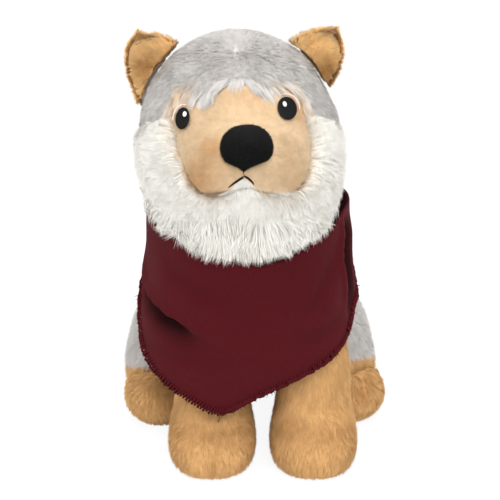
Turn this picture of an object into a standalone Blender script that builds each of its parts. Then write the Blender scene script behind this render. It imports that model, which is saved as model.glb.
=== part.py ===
"""A sitting plush dog-like toy with a cloth bandana round its neck.

Metres, +Z up. The toy faces -Y and sits on the plane z = 0. Left and right are as seen from the front,
so left is -X. Every stuffed pouch is one solid with its filling. The head and the torso are sewn from
several cloth panels, so there each panel is a shell of its own and the filling inside is a solid too.
"""

import math

import bpy
import numpy as np
from mathutils import Matrix, Vector

# Clearances and cloth
SEAM_GAP = 0.0006            # between two cloth panels along their seam
SEAT_GAP = 0.0007            # between a sewn-on piece and the cloth that carries it
PANEL_THICKNESS = 0.0040     # backing cloth and its pile
HEAD_FILL_GAP = 0.0039       # between the panels' inner faces and the filling, at the head
TORSO_FILL_GAP = 0.0028      # and at the torso
SEAM_DIP = 0.0012            # how far the cloth is drawn in along a seam

# Head: its lobes are measured from the head's centre, which also is the centre of its polar grid
HEAD_CENTRE = (-0.0052, -0.012, 0.150)
HEAD_YAW = math.radians(2.0)
HEAD_PITCH = math.radians(13.0)
HEAD_ROLL = math.radians(5.0)
SKULL_WIDTH = 0.096
SKULL_DEPTH = 0.088
SKULL_HEIGHT = 0.098
CHEEK_WIDTH = 0.102
CHEEK_DROP = 0.008
MUZZLE_WIDTH = 0.056
MUZZLE_HEIGHT = 0.044
MUZZLE_REACH = 0.067         # from the head's centre to the front of the muzzle
CHIN_DROP = 0.052            # from the head's centre to the bottom of the throat ruff
NECK_HEIGHT = 0.101          # the plane in which the head is sewn to the torso

# Torso
TORSO_CENTRE = (0.0, 0.024, 0.060)
BELLY_WIDTH = 0.086
BELLY_DEPTH = 0.084
BELLY_HEIGHT = 0.090
CHEST_WIDTH = 0.076
CHEST_DEPTH = 0.066
CHEST_HEIGHT = 0.084

# Legs
FORELEG_X = (-0.0185, 0.0310)
FORELEG_WIDTH = 0.038
FORELEG_DEPTH = 0.037
FORELEG_AXIS_Y = -0.038
PAW_WIDTH = 0.0445
PAW_LENGTH = 0.059
PAW_HEIGHT = 0.026
PAW_TOE_Y = -0.077
HAUNCH_X = (-0.0422, 0.0424)
HAUNCH_WIDTH = 0.042
HAUNCH_LENGTH = 0.064
HAUNCH_HEIGHT = 0.068
HAUNCH_Y = 0.029
HIND_PAW_X = (-0.0458, 0.0508)
HIND_PAW_WIDTH = 0.036
HIND_PAW_LENGTH = 0.040
HIND_PAW_HEIGHT = 0.029
HIND_PAW_TOE_Y = (-0.0135, -0.0095)

# Tail
TAIL_WIDTH = 0.030

# Ears
EAR_THICKNESS = 0.0034
EAR_LINING_THICKNESS = 0.0030

# Face details
NOSE_WIDTH = 0.0238
NOSE_HEIGHT = 0.0205
NOSE_BULGE = 0.0060
EYE_THICKNESS = 0.0010
STITCH_WIDTH = 0.0013
STITCH_THICKNESS = 0.0009

# Bandana
BANDANA_THICKNESS = 0.0012
BANDANA_CENTRE = (-0.001, -0.012)
BANDANA_TOP_HALF_WIDTH = 0.0495
BANDANA_LOW_HALF_WIDTH = 0.0540
BANDANA_FRONT_TOP = 0.0420
BANDANA_FRONT_LOW = 0.0550
BANDANA_BACK = 0.0460
KNOT_HEIGHT = 0.1195
KNOT_WIDTH = 0.0180
KNOT_END_SECTION = ((1.0, 0.0), (0.8, 1.0), (-0.8, 1.0), (-1.0, 0.0), (-0.8, -1.0), (0.8, -1.0))
OVERLOCK_DIAMETER = 0.0022

GREY = ("grey_plush", (0.56, 0.53, 0.50), 0.95)
TAN = ("tan_plush", (0.62, 0.36, 0.15), 0.95)
FACE_TAN = ("face_plush", (0.75, 0.50, 0.26), 0.95)
WHITE = ("white_plush", (0.84, 0.81, 0.74), 0.95)
BLACK = ("black_plush", (0.012, 0.011, 0.011), 0.90)
BLACK_THREAD = ("black_thread", (0.010, 0.010, 0.010), 0.55)
WHITE_THREAD = ("white_thread", (0.86, 0.84, 0.80), 0.60)
FILLING = ("polyester_filling", (0.90, 0.90, 0.88), 1.00)
MAROON = ("maroon_cloth", (0.105, 0.012, 0.018), 0.75)
MAROON_THREAD = ("maroon_thread", (0.060, 0.008, 0.012), 0.80)


# Scene helpers
def clear_scene():
    for old in list(bpy.data.objects):
        bpy.data.objects.remove(old)


def material(kind):
    name, colour, roughness = kind
    found = bpy.data.materials.get(name)
    if found:
        return found
    made = bpy.data.materials.new(name)
    made.use_nodes = True
    shader = made.node_tree.nodes["Principled BSDF"]
    shader.inputs["Base Color"].default_value = (*colour, 1.0)
    shader.inputs["Roughness"].default_value = roughness
    shader.inputs["Metallic"].default_value = 0.0
    return made


def add_object(name, points, faces, kind):
    mesh = bpy.data.meshes.new(name)
    mesh.from_pydata([tuple(p) for p in points], [], faces)
    mesh.materials.append(material(kind))
    mesh.shade_smooth()
    made = bpy.data.objects.new(name, mesh)
    bpy.context.scene.collection.objects.link(made)
    return made


def add_cutter(name, points, faces, swell):
    """A closed shape grown by swell along its normals, which only cuts other pieces."""
    made = add_object(name, points, faces, FILLING)
    normals = [v.normal.copy() for v in made.data.vertices]
    for vertex, normal in zip(made.data.vertices, normals):
        vertex.co += normal * swell
    made.hide_render = True
    made.display_type = "WIRE"
    return made


def cut(target, *cutters):
    for cutter in cutters:
        modifier = target.modifiers.new("cut_" + cutter.name, "BOOLEAN")
        modifier.operation = "DIFFERENCE"
        modifier.solver = "EXACT"
        modifier.object = cutter


def ease(share):
    """0 to 1 with a level start and end."""
    t = np.clip(share, 0.0, 1.0)
    return t * t * (3 - 2 * t)


def smooth_through(known, at, period=None):
    """Values at the places in at, on a smooth curve through the known (place, value) pairs."""
    place = np.array([k[0] for k in known], float)
    value = np.array([k[1] for k in known], float)
    at = np.asarray(at, float)
    if period:
        place = np.concatenate([place - period, place, place + period])
        value = np.concatenate([value, value, value])
        at = (at - known[0][0]) % period + known[0][0]
    step = np.diff(place)
    slope = np.diff(value) / step
    tangent = np.zeros_like(value)
    same = slope[:-1] * slope[1:] > 0
    mean = 2 * slope[:-1] * slope[1:] / np.where(same, slope[:-1] + slope[1:], 1.0)
    tangent[1:-1] = np.where(same, mean, 0.0)
    tangent[0], tangent[-1] = slope[0], slope[-1]
    i = np.clip(np.searchsorted(place, at, side="right") - 1, 0, len(step) - 1)
    t = np.clip((at - place[i]) / step[i], 0.0, 1.0)
    a, b = value[i], value[i + 1]
    ta, tb = tangent[i] * step[i], tangent[i + 1] * step[i]
    return (
        (2 * t**3 - 3 * t**2 + 1) * a
        + (t**3 - 2 * t**2 + t) * ta
        + (3 * t**2 - 2 * t**3) * b
        + (t**3 - t**2) * tb
    )


# Stuffed forms
def heading(polar, azimuth):
    """Unit vectors at an angle polar from straight ahead, -Y, and azimuth round it from +X towards +Z."""
    polar, azimuth = np.broadcast_arrays(polar, azimuth)
    return np.stack(
        [np.sin(polar) * np.cos(azimuth), -np.cos(polar), np.sin(polar) * np.sin(azimuth)], -1
    )


class Form:
    """Rounded lobes blended into one shape, kept below some planes, and seen from a centre inside it."""

    def __init__(self, centre, lobes, blend, turn=None, planes=()):
        self.centre = np.array(centre, float)
        self.lobes = [(np.array(c, float), np.array(r, float)) for c, r in lobes]
        self.blend = blend
        self.turn = np.array(turn if turn is not None else Matrix.Identity(3), float)
        self.planes = [(np.array(p, float), np.array(n, float)) for p, n in planes]

    def world(self, points):
        return points @ self.turn.T + self.centre

    def outside(self, points):
        """Negative inside the form, positive outside, in metres."""
        total = None
        for centre, radii in self.lobes:
            scaled = (points - centre) / radii
            near = np.linalg.norm(scaled, axis=-1)
            steep = np.linalg.norm(scaled / radii, axis=-1)
            gap = near * (near - 1.0) / np.maximum(steep, 1e-9)
            if total is None:
                total = gap
                continue
            h = np.clip(0.5 + 0.5 * (total - gap) / self.blend, 0.0, 1.0)
            total = total + (gap - total) * h - self.blend * h * (1.0 - h)
        for point, normal in self.planes:
            total = np.maximum(total, (self.world(points) - point) @ normal)
        return total

    def reach(self, directions, most=0.16):
        """How far the surface lies from the centre in each direction."""
        low = np.zeros(directions.shape[:-1])
        high = np.full(directions.shape[:-1], most)
        for _ in range(36):
            middle = (low + high) / 2
            inside = self.outside(directions * middle[..., None]) < 0
            low = np.where(inside, middle, low)
            high = np.where(inside, high, middle)
        return (low + high) / 2

    def on_front(self, x, z, start=-0.12, steps=90):
        """The directions in which a view from straight ahead meets the surface at x and z."""
        x, z = np.broadcast_arrays(np.asarray(x, float), np.asarray(z, float))
        low = np.full(x.shape, start)
        high = np.zeros(x.shape)
        found = np.zeros(x.shape, bool)
        for k in range(1, steps + 1):
            y = start * (1 - k / steps)
            inside = self.outside(np.stack([x, np.full(x.shape, y), z], -1)) < 0
            high = np.where(inside & ~found, y, high)
            found |= inside
            low = np.where(found, low, y)
        for _ in range(24):
            middle = (low + high) / 2
            inside = self.outside(np.stack([x, middle, z], -1)) < 0
            high = np.where(inside, middle, high)
            low = np.where(inside, low, middle)
        points = np.stack([x, (low + high) / 2, z], -1)
        return points / np.linalg.norm(points, axis=-1, keepdims=True)

    def surface(self, directions, lift=0.0):
        """Points in the object's frame, at a distance lift above the surface along each direction."""
        return self.world(directions * (self.reach(directions) + lift)[..., None])


def closed_rings(outer, inner, segments):
    """Faces of a cap: a pole and rings outside, joined at their last rings to a pole and rings inside."""
    faces = []

    def disc(first, rings, flip):
        for j in range(segments):
            k = (j + 1) % segments
            fan = (first, first + 1 + j, first + 1 + k)
            faces.append(fan if flip else fan[::-1])
            for i in range(rings - 1):
                a = first + 1 + i * segments
                quad = (a + j, a + segments + j, a + segments + k, a + k)
                faces.append(quad if flip else quad[::-1])

    inner_first = 1 + outer * segments
    disc(0, outer, True)
    disc(inner_first, inner, False)
    a = 1 + (outer - 1) * segments
    b = inner_first + 1 + (inner - 1) * segments
    for j in range(segments):
        k = (j + 1) % segments
        faces.append((a + j, b + j, b + k, a + k))
    return faces


def even_steps(form, start, end, azimuth, shares):
    """Angles from straight ahead that part each line from start to end by length along the surface."""
    fine = np.linspace(0.0, 1.0, 49)[:, None]
    polar = start + (end - start) * fine
    spots = form.surface(heading(polar, azimuth[None, :]))
    length = np.linalg.norm(np.diff(spots, axis=0), axis=-1)
    length = np.vstack([np.zeros((1, len(azimuth))), np.cumsum(length, axis=0)])
    columns = [
        np.interp(np.array(shares) * length[-1, j], length[:, j], polar[:, j]) for j in range(len(azimuth))
    ]
    return np.stack(columns, axis=1)


def cap_rings(form, seam, azimuth, rings, pole, lift, dip=0.0):
    """The pole and the rings of a cap from its pole, 0 ahead or pi behind, out to its seam."""
    tip = heading(np.array([pole]), np.array([0.0]))
    points = [form.surface(tip, lift)[0]]
    shares = [i / rings for i in range(1, rings + 1)]
    polar = even_steps(form, np.full(azimuth.shape, pole), seam, azimuth, shares)
    for row, share in zip(polar, shares):
        points.extend(form.surface(heading(row, azimuth), lift - dip * share**6))
    return points


def all_round(segments):
    return np.arange(segments) * 2 * math.pi / segments


def add_cap_panel(name, form, seam_at, pole, kind, azimuth, rings, inner_rings=4):
    """A cloth shell over one end of a form, out to the seam."""
    if pole:
        azimuth = azimuth[::-1]
    seam = seam_at(azimuth)
    points = cap_rings(form, seam, azimuth, rings, pole, 0.0, SEAM_DIP)
    points += cap_rings(form, seam, azimuth, inner_rings, pole, -PANEL_THICKNESS)
    return add_object(name, points, closed_rings(rings, inner_rings, len(azimuth)), kind)


def whole_form(form, seam_at, segments, rings_ahead, rings_behind, lift=0.0, dip=0.0):
    """A closed skin over a whole form, with the same grid as its two end caps."""
    azimuth = all_round(segments)
    ahead = cap_rings(form, seam_at(azimuth), azimuth, rings_ahead, 0.0, lift, dip)
    behind = cap_rings(form, seam_at(azimuth), azimuth, rings_behind, math.pi, lift, dip)
    return ahead + behind, closed_rings(rings_ahead, rings_behind, segments)


def grid_rim(rows, columns):
    """Pairs of neighbours round the edge of a grid of points."""
    rim = [c for c in range(columns)]
    rim += [r * columns + columns - 1 for r in range(1, rows)]
    rim += [(rows - 1) * columns + c for c in range(columns - 2, -1, -1)]
    rim += [r * columns for r in range(rows - 2, 0, -1)]
    return list(zip(rim, rim[1:] + rim[:1]))


def add_patch(name, form, outline, base, top, kind, rings=3, bulge=0.0, centre=(0.0, 0.0)):
    """A pad on a form's front: outline lists its edge as (x, z) seen from ahead, base and top are heights."""
    edge = np.array(outline)
    centre = np.array(centre)
    count = len(edge)
    points = []
    for level in (top, base):
        swell = bulge if level == top else 0.0
        points.extend(form.surface(form.on_front(centre[:1], centre[1:]), level + swell))
        for i in range(1, rings + 1):
            share = i / rings
            spot = centre + (edge - centre) * share
            height = level + swell * math.sqrt(max(0.0, 1.0 - share**2.4))
            points.extend(form.surface(form.on_front(spot[:, 0], spot[:, 1]), height))
    return add_object(name, points, closed_rings(rings, rings, count), kind)


def add_strip(name, form, line, width, base, top, kind):
    """A row of stitches along a line of (x, z) points seen from ahead; width holds one value for each point."""
    line = np.array(line)
    along = np.gradient(line, axis=0)
    along /= np.linalg.norm(along, axis=1, keepdims=True)
    across = np.stack([-along[:, 1], along[:, 0]], 1)
    half = np.asarray(width)[:, None] / 2
    corners = []
    for level, side in ((base, -1), (base, 1), (top, 1), (top, -1)):
        spot = line + across * half * side
        corners.append(form.surface(form.on_front(spot[:, 0], spot[:, 1]), level))
    points = [corners[c][i] for i in range(len(line)) for c in range(4)]
    last = 4 * (len(line) - 1)
    faces = [(3, 2, 1, 0), (last, last + 1, last + 2, last + 3)]
    for i in range(len(line) - 1):
        for c in range(4):
            d = (c + 1) % 4
            faces.append((4 * i + c, 4 * i + d, 4 * i + 4 + d, 4 * i + 4 + c))
    return add_object(name, points, faces, kind)


def ellipse(centre, width, height, lean, count):
    """An outline of (x, z) points; lean turns its top towards +X."""
    points = []
    for i in range(count):
        a = 2 * math.pi * i / count
        x, z = width / 2 * math.cos(a), height / 2 * math.sin(a)
        turned_x = x * math.cos(lean) + z * math.sin(lean)
        turned_z = -x * math.sin(lean) + z * math.cos(lean)
        points.append((centre[0] + turned_x, centre[1] + turned_z))
    return points


# Head
def head_turn():
    yaw = Matrix.Rotation(HEAD_YAW, 3, "Z")
    pitch = Matrix.Rotation(-HEAD_PITCH, 3, "X")
    roll = Matrix.Rotation(-HEAD_ROLL, 3, "Y")
    return yaw @ pitch @ roll


def head_form():
    cheek_x = CHEEK_WIDTH / 2 - 0.030
    lobes = [
        ((0.0, 0.006, 0.0085), (SKULL_WIDTH / 2, SKULL_DEPTH / 2, SKULL_HEIGHT / 2)),
        ((-cheek_x, 0.0, -CHEEK_DROP), (0.030, 0.034, 0.032)),
        ((cheek_x, 0.0, -CHEEK_DROP), (0.030, 0.034, 0.032)),
        ((0.002, -0.014, -CHIN_DROP + 0.027), (0.040, 0.035, 0.027)),
        ((cheek_x - 0.003, -0.011, -CHIN_DROP + 0.029), (0.025, 0.031, 0.026)),
        ((0.0, 0.012, -CHIN_DROP + 0.024), (0.037, 0.031, 0.027)),
        ((0.0, -MUZZLE_REACH + 0.034, -0.007), (MUZZLE_WIDTH / 2, 0.034, MUZZLE_HEIGHT / 2)),
    ]
    neck = ((0.0, 0.0, NECK_HEIGHT + SEAM_GAP / 2), (0.0, 0.0, -1.0))
    return Form(HEAD_CENTRE, lobes, 0.012, head_turn(), [neck])


# The face panel's edge in the head's own front view: (degrees from +X towards +Z, distance from the centre)
FACE_EDGE = [
    (0, 0.0335), (23, 0.0350), (38, 0.0385), (46, 0.0370), (53, 0.0295), (59, 0.0264), (66, 0.0272), (77, 0.0303),
    (89, 0.0307), (101, 0.0305), (109, 0.0290), (116, 0.0257), (123, 0.0258), (129, 0.0300), (136, 0.0385),
    (144, 0.0388), (156, 0.0352), (167, 0.0312), (183, 0.0286), (204, 0.0287), (224, 0.0278), (240, 0.0207),
    (255, 0.0168), (270, 0.0150), (285, 0.0180), (300, 0.0250), (315, 0.0318), (330, 0.0340), (345, 0.0335),
]
CROWN_ENDS = (math.radians(19), math.radians(152))   # where grey meets white beside the face, right and left
RUFF_STEP = math.radians(21)                          # over which that seam runs back from the face
RUFF_BACK = math.radians(108)                         # how far round the ruff reaches from straight ahead
RUFF_TIP = 0.08                                       # share of the step at which the ruff's corner starts
STEP_COLUMNS = 6


def head_azimuths(brow=22, throat=14):
    """The head's lines of longitude: closest over the brow, whose seam is the most curved."""
    right, left = CROWN_ENDS
    step = RUFF_STEP * np.concatenate([[RUFF_TIP], np.linspace(0, 1, STEP_COLUMNS)[1:]])
    over = np.linspace(right, left, brow)
    under = np.linspace(left + RUFF_STEP, right - RUFF_STEP + 2 * math.pi, throat)[1:-1]
    return np.concatenate([over, left + step, under, (right - step + 2 * math.pi)[::-1]])


def face_seam(form, azimuth):
    """The face panel's edge as an angle from straight ahead."""
    distance = smooth_through(FACE_EDGE, np.degrees(azimuth) % 360, 360)
    direction = form.on_front(distance * np.cos(azimuth), distance * np.sin(azimuth))
    return np.arccos(np.clip(-direction[..., 1], -1, 1))


def crown_seam(form, azimuth, retreat=0.0):
    """The crown's edge: along the face over the brow, then slanting back to run behind the ruff."""
    face = face_seam(form, azimuth) + SEAM_GAP / 0.036
    middle = sum(CROWN_ENDS) / 2
    half = (CROWN_ENDS[1] - CROWN_ENDS[0]) / 2 + retreat
    turned = (azimuth - middle + math.pi) % (2 * math.pi) - math.pi
    below = np.clip((np.abs(turned) - half) / RUFF_STEP, 0, 1)
    return face + (RUFF_BACK - face) * below


def add_crown(form, azimuth, rings=8):
    azimuth = azimuth[::-1]
    seam = crown_seam(form, azimuth)
    points = cap_rings(form, seam, azimuth, rings, math.pi, 0.0, SEAM_DIP)
    points += cap_rings(form, seam, azimuth, 4, math.pi, -PANEL_THICKNESS)
    faces = closed_rings(rings, 4, len(azimuth))
    crown = add_object("crown_panel", points, faces, GREY)
    core = cap_rings(form, seam, azimuth, rings, math.pi, 0.0)
    core += cap_rings(form, seam, azimuth, 4, math.pi, -0.024)
    return crown, add_cutter("crown_cutter", core, faces, SEAT_GAP)


def add_ruff(form, azimuth, rows=7):
    """White cheeks and throat: a crescent between the face's seam and the crown's edge."""
    right, left = CROWN_ENDS
    azimuth = azimuth[(azimuth > left + 1e-6) & (azimuth < right + 2 * math.pi - 1e-6)]
    columns = len(azimuth)
    low = face_seam(form, azimuth) + SEAM_GAP / 0.036
    high = crown_seam(form, azimuth, SEAM_GAP / 0.036) - SEAM_GAP / 0.045
    high = np.maximum(high, low + 0.02)
    shares = [r / (rows - 1) for r in range(rows)]
    polar = even_steps(form, low, high, azimuth, shares)
    side = np.abs(np.linspace(-1, 1, columns)) ** 14
    points = []
    for lift in (0.0, -PANEL_THICKNESS):
        for row, share in zip(polar, shares):
            edge = np.maximum(abs(2 * share - 1) ** 6, side)
            drawn_in = SEAM_DIP * edge if lift == 0.0 else 0.0
            points.extend(form.surface(heading(row, azimuth), lift - drawn_in))
    faces = []
    inner = rows * columns
    for r in range(rows - 1):
        for c in range(columns - 1):
            a = r * columns + c
            faces.append((a, a + columns, a + columns + 1, a + 1))
            faces.append((inner + a + 1, inner + a + columns + 1, inner + a + columns, inner + a))
    for a, b in grid_rim(rows, columns):
        faces.append((a, b, inner + b, inner + a))
    return add_object("cheek_ruff", points, faces, WHITE)


def build_head():
    form = head_form()
    azimuth = head_azimuths()
    add_cap_panel("face_panel", form, lambda a: face_seam(form, a), 0.0, FACE_TAN, azimuth, 7, 3)
    crown, crown_cutter = add_crown(form, azimuth)
    add_ruff(form, azimuth)
    depth = -(PANEL_THICKNESS + HEAD_FILL_GAP)
    points, faces = whole_form(form, lambda a: np.full(a.shape, RUFF_BACK), 20, 6, 4, depth)
    add_object("head_stuffing", points, faces, FILLING)
    return form, crown_cutter


# Places on the face, in the head's own front view, from the head's centre
NOSE_AT = (0.0018, 0.0016)
# Right half of the nose from its point up to its top, in half widths and half heights
NOSE_HALF = [
    (0.00, -1.00), (0.19, -0.80), (0.44, -0.70), (0.72, -0.60), (0.90, -0.42), (0.99, -0.14),
    (1.00, 0.18), (0.90, 0.52), (0.68, 0.80), (0.36, 0.96), (0.00, 1.00),
]
PHILTRUM = [(-0.0007, -0.0086), (-0.0008, -0.0098)]
MOUTH_LEFT = [(-0.0018, -0.0109), (-0.0032, -0.0118), (-0.0057, -0.0132), (-0.0085, -0.0153)]
MOUTH_RIGHT = [(0.0003, -0.0108), (0.0014, -0.0116), (0.0026, -0.0131), (0.0034, -0.0149)]
EYE_AT = ((-0.0253, 0.0163), (0.0226, 0.0164))
EYE_SIZE = ((0.0066, 0.0104), (0.0092, 0.0108))
EYE_LEAN = (math.radians(16), math.radians(-16))
HIGHLIGHT_AT = ((0.0018, 0.0014), (-0.0016, 0.0015))


def add_nose(form):
    turned = [(-x, z) for x, z in NOSE_HALF[-2:0:-1]]
    outline = [(NOSE_AT[0] + NOSE_WIDTH / 2 * x, NOSE_AT[1] + NOSE_HEIGHT / 2 * z) for x, z in NOSE_HALF + turned]
    add_patch("nose_pad", form, outline, SEAT_GAP, 0.0022, BLACK, 4, NOSE_BULGE, NOSE_AT)


def add_mouth(form):
    low, high = SEAT_GAP, SEAT_GAP + STITCH_THICKNESS
    nose_bottom = NOSE_AT[1] - NOSE_HEIGHT / 2 - SEAT_GAP
    philtrum = [(PHILTRUM[0][0], nose_bottom), PHILTRUM[1]]
    add_strip("philtrum_stitch", form, philtrum, [STITCH_WIDTH * 1.4, STITCH_WIDTH], low, high, BLACK_THREAD)
    for name, line in (("left_mouth_stitch", MOUTH_LEFT), ("right_mouth_stitch", MOUTH_RIGHT)):
        width = [STITCH_WIDTH * 0.8, STITCH_WIDTH, STITCH_WIDTH * 0.8, STITCH_WIDTH * 0.4]
        add_strip(name, form, line, width, low, high, BLACK_THREAD)


def add_eyes(form):
    """Each eye is a pad of black embroidery with a white highlight on it and a white rim over it."""
    low = SEAT_GAP
    top = low + EYE_THICKNESS
    for side, name in enumerate(("left", "right")):
        at, (width, height), lean = EYE_AT[side], EYE_SIZE[side], EYE_LEAN[side]
        add_patch(name + "_eye", form, ellipse(at, width, height, lean, 18), low, top, BLACK_THREAD, 2, 0.0, at)
        spot = (at[0] + HIGHLIGHT_AT[side][0], at[1] + HIGHLIGHT_AT[side][1])
        outline = ellipse(spot, 0.0019, 0.0027, lean, 8)
        add_patch(name + "_eye_highlight", form, outline, top + 0.0004, top + 0.0010, WHITE_THREAD, 1, 0.0, spot)
        outer = np.array(ellipse(at, width + 0.0020, height + 0.0020, lean, 36))
        first = 8 if side == 0 else 33
        arc = [outer[(first + i) % 36] for i in range(13)]
        thin = [0.0008 * (0.4 + 0.6 * math.sin(math.pi * (i + 0.5) / 13)) for i in range(13)]
        add_strip(name + "_eye_rim", form, arc, thin, low, top, WHITE_THREAD)


# Ears
EAR_BASE = ((-0.0408, 0.004, 0.1785), (0.0292, 0.004, 0.1865))
EAR_TIP = ((-0.0522, 0.001, 0.2005), (0.0402, 0.001, 0.2028))
EAR_ACROSS = ((0.50, -0.10, 0.86), (0.78, 0.10, -0.62))
EAR_HALF_WIDTH = (0.0165, 0.0133)
EAR_CUP = 0.0075


def ear_height(row, rows):
    """Share of an ear's height at a row; the rows lie closer towards its rounded top."""
    return 1 - (1 - row / (rows - 1)) ** 1.7


def ear_sheet(side, width, height_share, lift, rows=8, columns=9):
    """A grid over a cupped, round-topped ear, moved by lift towards the front of the toy."""
    base, tip = Vector(EAR_BASE[side]), Vector(EAR_TIP[side])
    up = tip - base
    across = Vector(EAR_ACROSS[side])
    across = (across - up * (across.dot(up) / up.length_squared)).normalized()
    ahead = across.cross(up).normalized()
    if ahead.y > 0:
        ahead = -ahead
    start = base - up * 0.30
    length = up * 1.30 * height_share
    grid = []
    for r in range(rows):
        v = ear_height(r, rows)
        half = width * (1.0 - 0.12 * v) * math.sqrt(max(0.0, 1.0 - v**3.2)) + 0.0012
        for c in range(columns):
            u = 2 * c / (columns - 1) - 1
            cup = EAR_CUP * (1 - u * u) * (1 - 0.6 * v)
            grid.append(start + length * v + across * (u * half) - ahead * cup + ahead * lift)
    return grid, ahead, rows, columns


def add_ear_layer(name, side, width, height_share, lift, thickness, kind, cutter):
    """One cloth layer of an ear, thinner towards its rim."""
    grid, ahead, rows, columns = ear_sheet(side, width, height_share, lift)
    points = []
    for sign in (1, -1):
        for r in range(rows):
            for c in range(columns):
                u = 2 * c / (columns - 1) - 1
                rim = max(abs(u), ear_height(r, rows)) ** 4
                points.append(grid[r * columns + c] + ahead * (sign * thickness / 2 * (1 - 0.6 * rim)))
    back = rows * columns
    faces = []
    turned = (grid[1] - grid[0]).cross(grid[columns] - grid[0]).dot(ahead) < 0
    for r in range(rows - 1):
        for c in range(columns - 1):
            a = r * columns + c
            faces.append((a, a + 1, a + columns + 1, a + columns))
            faces.append((back + a, back + a + columns, back + a + columns + 1, back + a + 1))
    for a, b in grid_rim(rows, columns):
        faces.append((b, a, back + a, back + b))
    if turned:
        faces = [f[::-1] for f in faces]
    cut(add_object(name, points, faces, kind), cutter)


def build_ears(crown_cutter):
    apart = (EAR_THICKNESS + EAR_LINING_THICKNESS) / 2 + SEAT_GAP
    for side, name in enumerate(("left", "right")):
        width = EAR_HALF_WIDTH[side]
        add_ear_layer(name + "_ear_back", side, width, 1.0, 0.0, EAR_THICKNESS, GREY, crown_cutter)
        add_ear_layer(
            name + "_ear_lining", side, width - 0.0012, 0.97, apart, EAR_LINING_THICKNESS, FACE_TAN, crown_cutter
        )


# Torso
TORSO_SEGMENTS = 22
TORSO_RINGS = (6, 7)


def torso_form():
    centre = np.array(TORSO_CENTRE)
    belly = np.array((0.0, 0.043, BELLY_HEIGHT / 2 - 0.002)) - centre
    chest = np.array((0.0, 0.005, 0.084)) - centre
    lobes = [
        (belly, (BELLY_WIDTH / 2, BELLY_DEPTH / 2, BELLY_HEIGHT / 2)),
        (chest, (CHEST_WIDTH / 2, CHEST_DEPTH / 2, CHEST_HEIGHT / 2)),
    ]
    neck = ((0.0, 0.0, NECK_HEIGHT - SEAM_GAP / 2), (0.0, 0.0, 1.0))
    floor = ((0.0, 0.0, 0.0), (0.0, 0.0, -1.0))
    return Form(TORSO_CENTRE, lobes, 0.030, None, [neck, floor])


def chest_seam(azimuth):
    """Where the white chest panel meets the grey back, as an angle from straight ahead."""
    up = np.sin(azimuth)
    return math.radians(78) - math.radians(14) * up * up


def build_torso():
    form = torso_form()
    gap = SEAM_GAP / 0.042
    ahead, behind = TORSO_RINGS
    add_cap_panel("chest_panel", form, chest_seam, 0.0, WHITE, all_round(TORSO_SEGMENTS), ahead, ahead)
    add_cap_panel("back_panel", form, lambda a: chest_seam(a) + gap, math.pi, GREY, all_round(TORSO_SEGMENTS), behind, behind)
    depth = -(PANEL_THICKNESS + TORSO_FILL_GAP)
    points, faces = whole_form(form, chest_seam, 16, 4, 5, depth)
    add_object("torso_stuffing", points, faces, FILLING)
    points, faces = whole_form(form, chest_seam, TORSO_SEGMENTS, ahead, behind)
    return form, add_cutter("torso_cutter", points, faces, SEAT_GAP)


# Legs
def loft(rings):
    """A closed skin through rings of points, with flat ends."""
    count = len(rings[0])
    points = [p for ring in rings for p in ring]
    faces = [tuple(range(count))[::-1], tuple(range((len(rings) - 1) * count, len(rings) * count))]
    for i in range(len(rings) - 1):
        for j in range(count):
            k = (j + 1) % count
            a = i * count
            faces.append((a + j, a + k, a + count + k, a + count + j))
    return points, faces


def foreleg_rings(x, sides=20):
    """Level rings up a foreleg: the paw's sole, its toes, then the leg leaning back to the shoulder."""
    half_leg = FORELEG_WIDTH / 2
    half_paw = PAW_WIDTH / 2
    paw_y = PAW_TOE_Y + PAW_LENGTH / 2
    stations = [
        # height, half width, half depth, y of the middle
        (0.0, half_paw * 0.80, PAW_LENGTH / 2 * 0.86, paw_y),
        (PAW_HEIGHT * 0.12, half_paw * 0.95, PAW_LENGTH / 2 * 0.965, paw_y),
        (PAW_HEIGHT * 0.38, half_paw, PAW_LENGTH / 2, paw_y),
        (PAW_HEIGHT * 0.66, half_paw * 0.975, PAW_LENGTH / 2 * 0.93, paw_y + 0.001),
        (PAW_HEIGHT * 0.90, half_paw * 0.92, PAW_LENGTH / 2 * 0.77, paw_y + 0.005),
        (PAW_HEIGHT * 1.15, half_leg * 0.99, FORELEG_DEPTH / 2 * 1.03, FORELEG_AXIS_Y - 0.001),
        (PAW_HEIGHT * 1.60, half_leg, FORELEG_DEPTH / 2, FORELEG_AXIS_Y),
        (0.058, half_leg * 0.96, FORELEG_DEPTH / 2 * 0.99, FORELEG_AXIS_Y + 0.003),
        (0.076, half_leg * 0.88, FORELEG_DEPTH / 2 * 0.92, FORELEG_AXIS_Y + 0.009),
        (0.088, half_leg * 0.66, FORELEG_DEPTH / 2 * 0.68, FORELEG_AXIS_Y + 0.016),
        (0.0935, half_leg * 0.34, FORELEG_DEPTH / 2 * 0.34, FORELEG_AXIS_Y + 0.020),
    ]
    rings = []
    for z, rx, ry, y in stations:
        ring = []
        lean = -0.10 * math.copysign(max(0.0, z - 0.045), x)
        for j in range(sides):
            a = 2 * math.pi * j / sides
            # Toes are blunt: the front of a low ring is squarer than its back.
            squareness = 0.86 if z < PAW_HEIGHT and math.sin(a) < 0 else 1.0
            cx = math.copysign(abs(math.cos(a)) ** squareness, math.cos(a))
            sy = math.copysign(abs(math.sin(a)) ** squareness, math.sin(a))
            ring.append((x + lean + rx * cx, y + ry * sy, z))
        rings.append(ring)
    return rings


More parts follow.
